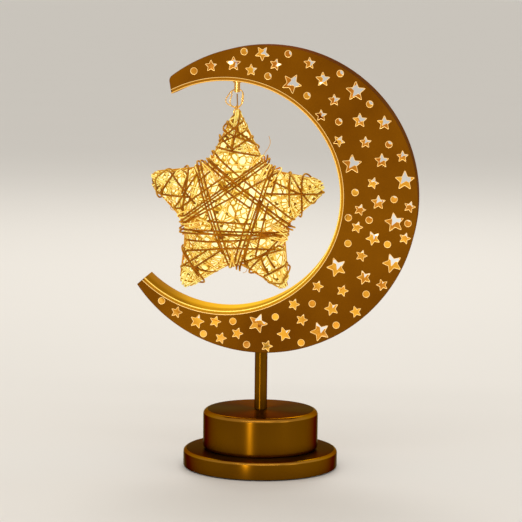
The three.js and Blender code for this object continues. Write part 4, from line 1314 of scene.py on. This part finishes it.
    def round_arm(self, index: int, distance: float, angle: float, lift: float) -> Vector:
        """A place round an arm: distance along it, angle round it from the front, and lift."""
        arm = self.arms[index]
        front, aside = polar(1.0, angle)
        off = (self.half_width(index, -1 if aside < 0 else 1, distance) + lift) * aside
        depth = self.half_depth * math.sqrt(1 - (distance / arm.reach) ** 2) + lift
        x, z = polar(1.0, arm.bearing)
        return Vector((distance * x - off * z, -depth * front, distance * z + off * x))

    def arm_winding(self, index: int) -> list[Vector]:
        """The thick winding along one arm and back."""
        arm = self.arms[index]
        far = self.root + (arm.reach - self.root) * self.share
        turn = (360 if index % 2 else -360) * self.turns
        points = []
        for i in range(1, 2 * self.steps + 1):
            back = i / self.steps - 1
            lift = self.layer(min(max(min(4 * back, 9 - 10 * back), 0.0), 1.0))
            distance = far + (self.root - far) * abs(back)
            points.append(self.round_arm(index, distance, -90 + turn * (1 + back), lift))
        return points

    def edge_place(self, bearing: float, lift: float) -> Vector:
        """A place in the star's plane, a lift outside its outline."""
        x, z = polar(self.outline_at(bearing) + lift, bearing)
        return Vector((x, 0.0, z))

    def across(self, start: Vector, end: Vector, lifts: Sequence[float], face: Face) -> list[Vector]:
        """A pass over the front or the back.

        Args:
            start: Where it starts, on the edge.
            end: Where it ends, on the edge.
            lifts: Its lift over the web at each step.
            face: Which of the two it lies on.

        Returns:
            Its points after the first.
        """
        points = []
        steps = len(lifts)
        for i, lift in enumerate(lifts, 1):
            place = start.lerp(end, (1 - math.cos(math.pi * i / steps)) / 2)
            bearing = math.degrees(math.atan2(place.z, place.x))
            share = min(place.length / (self.outline_at(bearing) + lift), 1.0)
            place.y = face.value * (self.half_depth + lift) * math.sqrt(1 - share**2)
            points.append(place)
        return points

    def body_corner(self, visit: int) -> tuple[Vector, float]:
        """The place at a notch, and the layer, of one visit of the thick winding."""
        index = (2 * visit + 1) % len(self.arms)
        lap = (visit + 1) // (2 * len(self.arms))
        aside = self.spacing * (lap + 0.5) * (1 if visit % 2 else -1)
        bearing = self.arms[index].bearing + self.notch_angle(index, 1) + aside
        rise = self.rise + (1 if visit % 2 else 0)
        return self.edge_place(bearing, self.layer(rise)), rise

    def body_pass(self, number: int) -> list[Vector]:
        """One pass of the thick winding over the body: the front when even, else the back."""
        (start, first), (end, last) = self.body_corner(number - 1), self.body_corner(number)
        crossing = (0, 1, 0, 1, 2)[number // 2 % 5]
        rises = [crossing] * self.pass_steps
        rises[:2] = [first, first]
        rises[-3:] = [last, last, last]
        lifts = [self.layer(rise) for rise in rises]
        return self.across(start, end, lifts, Face.BACK if number % 2 else Face.FRONT)

    def thick_route(self) -> list[Vector]:
        """The whole route of the thick winding."""
        route = [point for index in range(len(self.arms)) for point in self.arm_winding(index)]
        last = len(self.arms) - 1
        aside = self.arms[last].bearing + self.notch_angle(last, 1) + self.spacing / 2
        route.append(self.edge_place(aside, self.layer(0)))
        for number in range(self.passes):
            route += self.body_pass(number)
        return route

    def inside(self, start: Vector, end: Vector) -> bool:
        """Whether the straight line between two places on the edge stays on the star, or nearly."""
        steps, spare = 12, 2.5
        places = (start.lerp(end, i / steps) for i in range(1, steps))
        return all(place.length <= self.edge_near(place.x, place.z) + spare for place in places)

    def edge_near(self, x: float, z: float) -> float:
        """The outline's radius in the direction of a place, to a tenth of a degree."""
        return self.outline_at(round(math.degrees(math.atan2(z, x)), 1))

    def free_route(self, passes: int, home: int | None, low: float, high: float) -> list[Vector]:
        """A hand's winding of several passes, over the front and the back in turn.

        Args:
            passes: How many passes it has.
            home: The arm that it stays on, or None for the whole star.
            low: The least lift over the web.
            high: The most.

        Returns:
            Its points.
        """
        chance = self.chance
        least_apart, steps = (26, 7) if home is None else (10, 5)
        place = None
        points: list[Vector] = []
        number = 0
        for _ in range(self.most_tries):
            if number == passes:
                break
            index = chance.randrange(len(self.arms)) if home is None else home
            side = chance.choice((-1, 1))
            notch = self.notch_angle(index, side)
            spread = chance.uniform(0.12, 1.0) if home is None else chance.uniform(0.1, 1.0) ** 1.3
            bearing = round(self.arms[index].bearing + side * notch * spread, 1)
            lift = chance.uniform(low, high) * (1.0 if spread > 0.5 else 0.45)
            target = self.edge_place(bearing, lift)
            if place is None:
                place = target
                points.append(place)
                continue
            if (target - place).length < least_apart or not self.inside(place, target):
                continue
            middle = chance.uniform(low, high)
            lifts = [max(low, middle + chance.uniform(-0.3, 0.3)) for _ in range(steps)]
            lifts[-1] = lift
            points += self.across(place, target, lifts, Face.FRONT if number % 2 else Face.BACK)
            place = target
            number += 1
        return points

    def in_place(self, shape: bmesh.types.BMesh) -> bmesh.types.BMesh:
        """A shape about the star's centre, moved to where the star hangs."""
        bmesh.ops.translate(shape, vec=(self.centre[0], 0.0, self.centre[1]), verts=shape.verts)
        return shape

    def web(self) -> bmesh.types.BMesh:
        """The puffed lit body under the strands."""
        shape = bmesh.new()
        around, over = self.web_steps
        bmesh.ops.create_uvsphere(shape, u_segments=around, v_segments=over, radius=1.0)
        for vert in shape.verts:
            flat = Vector((vert.co.x, vert.co.y))
            bearing = round(math.degrees(math.atan2(flat.y, flat.x)), 2) if flat.length > 1e-6 else 0.0
            radius = self.outline_at(bearing) - self.web_inset
            x, z = polar(radius * flat.length, bearing)
            place = Vector((x, -vert.co.z * self.half_depth, z))
            lump = sum(noise.noise(place / size) * high for size, high in self.lumps)
            vert.co = place * (1.0 + lump / max(place.length, 10.0))
        return shape

    def arm_wraps(self, index: int, hand: int, turns: int) -> list[Vector]:
        """A strand wound round an arm from its root to its tip.

        Args:
            index: The arm.
            hand: 1 or -1, the way that it turns.
            turns: How many times it goes round.

        Returns:
            Its points.
        """
        arm, chance = self.arms[index], self.chance
        low, high = self.wrap_root * self.notch_reach, arm.reach - 1.0
        tilts = [chance.uniform(-self.wrap_tilt, self.wrap_tilt) for _ in range(2 * turns + 2)]
        lifts = [chance.uniform(0.1, 1.0) for _ in range(2 * turns + 2)]
        steps = self.wrap_steps
        points = []
        for i in range(turns * steps + 1):
            half, t = divmod(2 * i / steps, 1.0)
            half = int(half)
            tilt = tilts[half] + (tilts[half + 1] - tilts[half]) * t
            lift = lifts[half] + (lifts[half + 1] - lifts[half]) * t
            angle = -90 + hand * 360 * i / steps
            share = i / (turns * steps)
            distance = low + (high - low) * share + tilt * math.cos(math.radians(angle))
            points.append(self.round_arm(index, min(distance, arm.reach - 0.6), angle, lift))
        return points

    def over_tip(self, index: int) -> list[Vector]:
        """A strand that runs out along an arm, over its tip and back along the other face."""
        arm, chance = self.arms[index], self.chance
        lean, end = chance.uniform(-0.8, 0.8), chance.uniform(-0.7, 0.7)
        lift = chance.uniform(0.3, 1.1)
        low = chance.uniform(0.25, 0.6) * arm.reach
        x, z = polar(1.0, arm.bearing)
        steps, near_tip = 16, 0.2
        points = []
        for i in range(steps + 1):
            away, front = math.sin(math.pi * i / steps), math.cos(math.pi * i / steps)
            distance = low + (arm.reach + lift * 0.6 - low) * away**0.8
            share = lean + (end - lean) * i / steps
            reach = min(distance, arm.reach - 1.2)
            off = (self.half_width(index, -1 if share < 0 else 1, reach) + lift) * share
            depth = self.half_depth * math.sqrt((1 - (reach / arm.reach) ** 2) * (1 - share**2)) + lift
            depth *= 1.0 if front > 0 else -1.0
            if abs(front) < near_tip:
                depth *= abs(front) / near_tip
            points.append(Vector((distance * x - off * z, -depth, distance * z + off * x)))
        return points

    def notch_loop(self, index: int, high: float) -> list[Vector]:
        """A short strand that turns round the edge in the notch after an arm, up to a lift over it."""
        chance = self.chance
        bearing = self.arms[index].bearing + self.notch_angle(index, 1) + chance.uniform(-11, 11)
        lean, lift, deep = chance.uniform(-9, 9), chance.uniform(0.3, high), chance.uniform(11, 17)
        half = 4
        points = []
        for i in range(-half, half + 1):
            turn = math.pi / 2 * (i / half)
            radius = self.outline_at(round(bearing, 1)) + lift - deep * (1 - math.cos(turn))
            x, z = polar(radius, bearing + lean * (i / half))
            points.append(Vector((x, (self.half_depth * 0.8 + lift * 0.5) * math.sin(turn), z)))
        return points

    def edge_wraps(self) -> list[list[Vector]]:
        """The pale strands that wind round the arms, their tips and the notches."""
        runs = []
        for index in range(len(self.arms)):
            runs += [self.arm_wraps(index, hand, turns) for hand, turns in self.wraps]
            runs += [self.over_tip(index) for _ in range(self.tip_runs)]
            runs += [self.notch_loop(index, self.notch_lift) for _ in range(self.notch_runs)]
        return runs

    def outward(self, place: Vector) -> Vector:
        """The way out of the star at a place near its skin."""
        step = 0.8

        def fill(x: float, z: float) -> float:
            """How far out a place is, squared: 1 on the outline."""
            return (x * x + z * z) / self.edge_near(x, z) ** 2

        x, z = place.x, place.z
        along_x = (fill(x + step, z) - fill(x - step, z)) / (2 * step)
        along_z = (fill(x, z + step) - fill(x, z - step)) / (2 * step)
        return Vector((along_x, 2 * place.y / self.half_depth**2, along_z)).normalized()

    def tell_facing(self, piece: bpy.types.Object) -> None:
        """Keep on a piece's mesh how far each place of it faces out of the star, from 0 to 1."""
        middle = Vector((self.centre[0], 0.0, self.centre[1]))
        facing = piece.data.attributes.new("facing", "FLOAT", "POINT")
        facing.data.foreach_set(
            "value",
            [max(0.0, vert.normal.dot(self.outward(vert.co / MM - middle))) for vert in piece.data.vertices],
        )

    def wound(
        self, piece: Piece, runs: Iterable[Sequence[Vector]], radius: float, sides: int, smooth: int
    ) -> None:
        """Make a piece of round strands.

        Args:
            piece: The piece.
            runs: The points of each strand.
            radius: The strands' radius.
            sides: How many sides they have.
            smooth: How many steps lie between two points.
        """
        made = piece.of_bmesh(self.in_place(strands(piece.name, runs, radius, sides, smooth=smooth)), 60.0)
        self.tell_facing(made)

    def build(self) -> None:
        """Make the web, the thick winding and the finer strands."""
        web = Piece("lit_web", "star", LitWeb("lit_web", "fibre_web", centre=self.centre), "star_web")
        web.of_bmesh(self.in_place(self.web()), 80.0)
        brown, amber, pale = self.fibres()
        thick = Piece("thick_winding", "star", brown, "star_winding")
        self.wound(thick, [self.thick_route()], self.thick_radius, 10, 3)
        laid = [self.laid(*line) for line in self.lines]
        self.wound(Piece("laid_strands", "star", brown), laid, self.laid_radius, 8, 3)
        self.wound(Piece("edge_strands", "star", pale), self.edge_wraps(), self.edge_radius, 8, 1)
        homes = [None] * 3 + 2 * list(range(len(self.arms)))
        for name, finish, radius, lifts in (
            ("pale_strands", pale, self.pale_radius, self.pale_lift),
            ("amber_strands", amber, self.amber_radius, self.amber_lift),
        ):
            runs = [self.free_route(self.free_passes, home, *lifts) for home in homes]
            self.wound(Piece(name, "star", finish), runs, radius, 8, 1)
        strays = [[Vector(point) for point in stray] for stray in self.strays]
        self.wound(Piece("stray_fibres", "star", amber), strays, self.stray_radius, 6, 4)

    def fibres(self) -> tuple[Fibre, Fibre, Fibre]:
        """The finishes of the brown, amber and pale strands."""
        brown = Fibre(
            "dark_rattan", "rattan", centre=self.centre, light=(0.18, 0.052, 0.001),
            dark=(0.2, 0.05, 0.001), side=(0.1, 0.022, 0.001), glow=(0.62, 0.2, 0.004),
            turned=(1.0, 0.56, 0.06), turned_side=(0.5, 0.18, 0.01), strength=0.62,
        )
        amber = Fibre(
            "amber_fibre", "fibre_web", centre=self.centre, light=(0.3, 0.13, 0.01),
            dark=(0.3, 0.1, 0.004), side=(0.3, 0.08, 0.002), glow=(0.95, 0.6, 0.04),
            turned=(1.0, 0.64, 0.07), turned_side=(0.4, 0.14, 0.004), strength=0.8,
        )
        pale = Fibre(
            "pale_fibre", "fibre_web", centre=self.centre, light=(0.34, 0.25, 0.05),
            dark=(0.7, 0.4, 0.04), side=(0.36, 0.1, 0.002), glow=(0.93, 0.9, 0.25),
            turned=(0.96, 0.92, 0.27), turned_side=(0.4, 0.14, 0.003), strength=0.95,
        )
        return brown, amber, pale

    def laid(self, start: Flat, end: Flat, sag: float = 0.0) -> list[Vector]:
        """A single strand over the front, with its ends tucked round the edge or into the web.

        Args:
            start: Where it starts, in X and Z about the star's centre.
            end: Where it ends.
            sag: How far its middle is bent downwards.

        Returns:
            Its points.
        """
        steps = 9
        points = []
        for i in range(steps + 1):
            t = i / steps
            flat = Vector(start).lerp(Vector(end), t) - Vector((0.0, 4 * sag * t * (1 - t)))
            lift = self.layer(1.0 + 0.7 * math.sin(math.pi * t))
            share = min(flat.length / (self.edge_near(*flat) + lift), 1.0)
            depth = (self.half_depth + lift) * math.sqrt(1 - share**2)
            points.append(Vector((flat.x, -depth, flat.y)))
        for at, order in ((points[0], 1), (points[-1], -1)):
            if math.hypot(at.x, at.z) < self.edge_near(at.x, at.z) - self.edge_zone:
                tucked = [at + Vector((0.0, self.tuck, 0.0))]
            else:
                bearing = round(math.degrees(math.atan2(at.z, at.x)), 1)
                edge = self.edge_place(bearing, 2 * self.strand)
                behind = Vector((0.0, self.half_depth * self.tuck_back, 0.0))
                tucked = [edge, edge * self.tuck_in + behind]
            points = tucked[::-1] + points if order > 0 else points + tucked
        return points


@dataclass
class Links:
    """The hanger tube, the wire tie, the ring and the star's wire frame."""

    star: Star
    eye_z: float = 268.65
    ring_z: float = 255.74
    link_y: float = -0.7
    tube_radius: float = 2.1
    tube_bore: float = 1.3
    tube_floor: float = 266.85
    tube_top: float = 284.18
    shoulder_radius: float = 3.0
    shoulder_top: float = 274.55
    shoulder_height: float = 1.0
    wire: float = 0.4
    tie_length: float = 11.91
    tie_wide: float = 7.8
    tie_narrow: float = 4.4
    tie_turns: Flat = (1.0, 0.62)
    tie_sag: float = 2.2
    tie_bow: float = 1.5
    ring_radius: float = 2.1
    frame_wire: float = 0.6
    frame_proud: float = 0.95
    frame_inset: float = 4.5
    frame_neck: float = 2.0
    frame_neck_length: float = 13.0
    frame_rounding: float = 1.6

    def build(self) -> None:
        """Make the tube, the tie, the ring and the frame."""
        x = self.star.centre[0]
        tube = spun(self.tube(), (x, 0.0), 40)
        Piece("hanger", "lamp", Metals.wire, "hanger_tube").of_bmesh(tube)
        turns = [self.tie(size) for size in self.tie_turns]
        tie = strands("wire_tie", turns, self.wire, 10, closed=True, smooth=6)
        bmesh.ops.translate(tie, vec=(x, 0.0, self.eye_z), verts=tie.verts)
        Piece("wire_tie", "tie", Metals.wire, "tie_loop").of_bmesh(tie, 60.0)
        around = arc((self.link_y, self.ring_z), self.ring_radius, 0, 345, 23)
        circle = [Vector((x, y, z)) for y, z in around]
        ring = strands("small_ring", [circle], self.wire, 10, closed=True)
        Piece("small_ring", "ring", Metals.wire, "star_ring").of_bmesh(ring, 60.0)
        wire = [Vector((px, self.link_y, pz)) for px, pz in self.frame()]
        frame_shape = strands("wire_frame", [wire], self.frame_wire, 8, closed=True)
        Piece("wire_frame", "star", Metals.wire, "star_frame").of_bmesh(self.star.in_place(frame_shape), 60.0)

    def tube(self) -> list[Flat]:
        """The tube's section, with the shoulder under the rim."""
        low, top, ease = self.tube_floor, self.tube_top, 0.2
        outer, inner, wide = self.tube_radius, self.tube_bore, self.shoulder_radius
        step = self.shoulder_top
        return [
            (inner, low), (outer - ease, low), (outer, low + ease),
            (outer, step - self.shoulder_height), (wide - ease, step - self.shoulder_height),
            (wide, step - self.shoulder_height + ease), (wide, step), (outer, step),
            (outer, top), (inner, top),
        ]

    def tie(self, size: float) -> list[Vector]:
        """One turn of the tie's wire. The smaller its width is, the lower it hangs and the more it bows."""
        over, slack = self.tube_radius + 3 * self.wire, 1.0 - size
        long = self.tie_length + self.tie_sag * slack
        wide = max(self.tie_wide * size, over + 0.6)
        narrow = max(self.tie_narrow * size, over + 0.3)
        return [
            Vector((px, self.link_y + self.tie_bow * slack * math.sin(math.pi * pz / long), pz))
            for px, pz in (
                (0.0, 0.0), (over, -0.7), (narrow, -0.5 * long), (0.75 * narrow, -0.85 * long),
                (0.0, -long), (-0.6 * wide, -0.94 * long), (-wide, -0.7 * long),
                (-0.75 * wide, -0.3 * long), (-over, -0.7),
            )
        ]

    def frame(self) -> list[Flat]:
        """The frame's corners, with small rounding, as seen from the front."""
        star = self.star
        top, neck = star.reach + self.frame_proud, self.frame_neck
        low = top - self.frame_neck_length
        corners: list[Flat] = [(neck, low), (neck, top), (-neck, top), (-neck, low)]
        for index, arm in enumerate(star.arms):
            if index:
                corners.append(polar(arm.reach - self.frame_inset, arm.bearing))
            notch = arm.bearing + star.notch_angle(index, 1)
            corners.append(polar(star.notch_reach - self.frame_inset, notch))
        return rounded(corners, self.frame_rounding, 3)


class Dressing:
    """The finishes of the nodes that keep their own shape."""

    def __init__(self) -> None:
        """Name the finish of each node."""
        steel = Metals.steel
        black = Plain("black_plastic", "black_plastic", (0.018, 0.018, 0.018), 0.5)
        rubber = Plain("soft_rubber", "rubber", (0.02, 0.02, 0.022), 0.85)
        sheath = Plain("clear_lead_sheath", "lead_sheath", (0.5, 0.28, 0.08), 0.35, metal=0.4)
        # The splice sleeves glow warm: painted light.
        sleeve = Plain("warm_clear_sleeve_painted_glow", "black_plastic", (0.45, 0.25, 0.05), 0.3, glow=(0.5, 0.27, 0.03))
        board = Plain("green_board", "circuit_board", (0.015, 0.12, 0.04), 0.45)
        jacket = Banded("cell_jacket", "cell_jacket")
        bead = Glow("warm_bead", "warm_light")
        self.finishes: dict[str, Finish] = {
            "bottom_plate": black, "battery_door": black, "battery_holder": black,
            "switch_body": black, "switch_knob": black, "timer_board": board,
            "threaded_pipe": steel, "lower_washer": steel, "lower_nut": steel,
            "upper_washer": steel, "upper_nut": steel, "hanger_nut": steel,
            "supply_lead": sheath, "star_lead": sheath, "star_lead_tail": sheath,
            "battery_lead_positive": rubber, "battery_lead_negative": rubber,
            "star_splice": sleeve, "supply_splice": sleeve,
            "star_light_string": bead,
            "contact_positive": steel, "contact_link_back": steel, "contact_link_front": steel,
            "contact_negative": steel,
        }
        for number in range(1, 5):
            self.finishes[f"foot_{number}"] = rubber
            self.finishes[f"cover_screw_{number}"] = steel
            self.finishes[f"drum_screw_{number}"] = steel
        for number in range(1, 4):
            self.finishes[f"cell_{number}"] = jacket

    def apply(self) -> None:
        """Dress each node that still shows."""
        for name, finish in self.finishes.items():
            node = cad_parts[name]
            node.data.materials.clear()
            node.data.materials.append(material(finish))
            log.info("%s: %s", name, finish.name)


# The studio


@dataclass(frozen=True)
class Lamp:
    """A soft rectangular lamp that points at a place, all in metres and watts.

    One that is for gloss only leaves dull surfaces and the floor as they are.
    """

    name: str
    place: tuple[float, float, float]
    aim: tuple[float, float, float]
    size: Flat
    power: float
    colour: Colour
    gloss_only: bool = False

    def build(self) -> None:
        """Put the lamp in the scene."""
        light = bpy.data.lights.new(self.name, "AREA")
        light.shape = "RECTANGLE"
        light.size, light.size_y = self.size
        light.energy = self.power
        light.color = self.colour
        lamp = placed(self.name, light)
        lamp.visible_diffuse = not self.gloss_only
        turn = (Vector(self.aim) - Vector(self.place)).to_track_quat("-Z", "Y").to_matrix().to_4x4()
        lamp.matrix_world = Matrix.Translation(self.place) @ turn


@dataclass
class Studio:
    """The floor, the surroundings, the lamps and the camera."""

    lamps: tuple[Lamp, ...] = (
        Lamp("strip", (-0.65, -2.3, 0.24), (0.0, 0.0, 0.05), (0.08, 0.4), 15.0, (1.0, 0.96, 0.9), True),
        Lamp("bar", (0.0, -1.75, 1.9), (0.0, 0.0, 0.1), (2.6, 0.22), 11.0, (1.0, 0.97, 0.92)),
        Lamp("fill", (1.8, -1.2, 0.9), (0.0, 0.0, 0.15), (0.7, 0.7), 2.0, (0.96, 0.98, 1.0)),
        Lamp("top", (-0.1, 1.5, 1.6), (0.0, 0.0, 0.05), (1.0, 0.9), 12.0, (1.0, 0.98, 0.95)),
    )
    surroundings: Colour = (0.74, 0.72, 0.69)
    floor_size: float = 60.0
    sensor: float = 36.0
    sight: float = 200.0
    lens: float = 158.87
    camera_at: tuple[float, float, float] = (138.74, -1616.1, 342.5)
    yaw: float = 5.34
    pitch: float = 6.85
    roll: float = 0.615

    def build(self) -> None:
        """Make the floor, the world, the lamps and the camera."""
        shape = bmesh.new()
        bmesh.ops.create_grid(shape, x_segments=2, y_segments=2, size=self.floor_size)
        mesh = bpy.data.meshes.new("floor")
        shape.to_mesh(mesh)
        shape.free()
        mesh.materials.append(material(FloorPaint("pale_floor", "")))
        placed("floor", mesh)
        self.world()
        for lamp in self.lamps:
            lamp.build()
        self.camera()
        bpy.context.scene.view_settings.view_transform = "Standard"

    def world(self) -> None:
        """A plain pale surrounding."""
        world = bpy.data.worlds.new("studio")
        world.use_nodes = True
        back = world.node_tree.nodes["Background"]
        back.inputs["Color"].default_value = (*self.surroundings, 1.0)
        back.inputs["Strength"].default_value = 1.0
        bpy.context.scene.world = world

    def camera(self) -> None:
        """The camera at the photograph's place."""
        yaw, pitch, roll = (math.radians(v) for v in (self.yaw, self.pitch, self.roll))
        ahead = Vector(
            (-math.sin(yaw) * math.cos(pitch), math.cos(yaw) * math.cos(pitch), -math.sin(pitch))
        )
        right = ahead.cross(Vector((0.0, 0.0, 1.0))).normalized()
        up = right.cross(ahead)
        turned_right = right * math.cos(roll) + up * math.sin(roll)
        turned_up = up * math.cos(roll) - right * math.sin(roll)
        data = bpy.data.cameras.new("camera")
        data.lens = self.lens
        data.sensor_width = self.sensor
        data.clip_end = self.sight
        camera = placed("camera", data)
        axes = Matrix((turned_right, turned_up, -ahead)).transposed().to_4x4()
        camera.matrix_world = Matrix.Translation(Vector(self.camera_at) * MM) @ axes
        bpy.context.scene.camera = camera


def main() -> None:
    """Build the lamp's pieces in order, then the studio."""
    logging.basicConfig(level=logging.INFO, format="%(name)s: %(message)s")
    Base(STEM_X).build()
    Crescent(MOON_AT).build()
    star = Star(STAR_AT)
    star.build()
    Links(star).build()
    Dressing().apply()
    Studio().build()


if __name__ == "__main__":
    main()
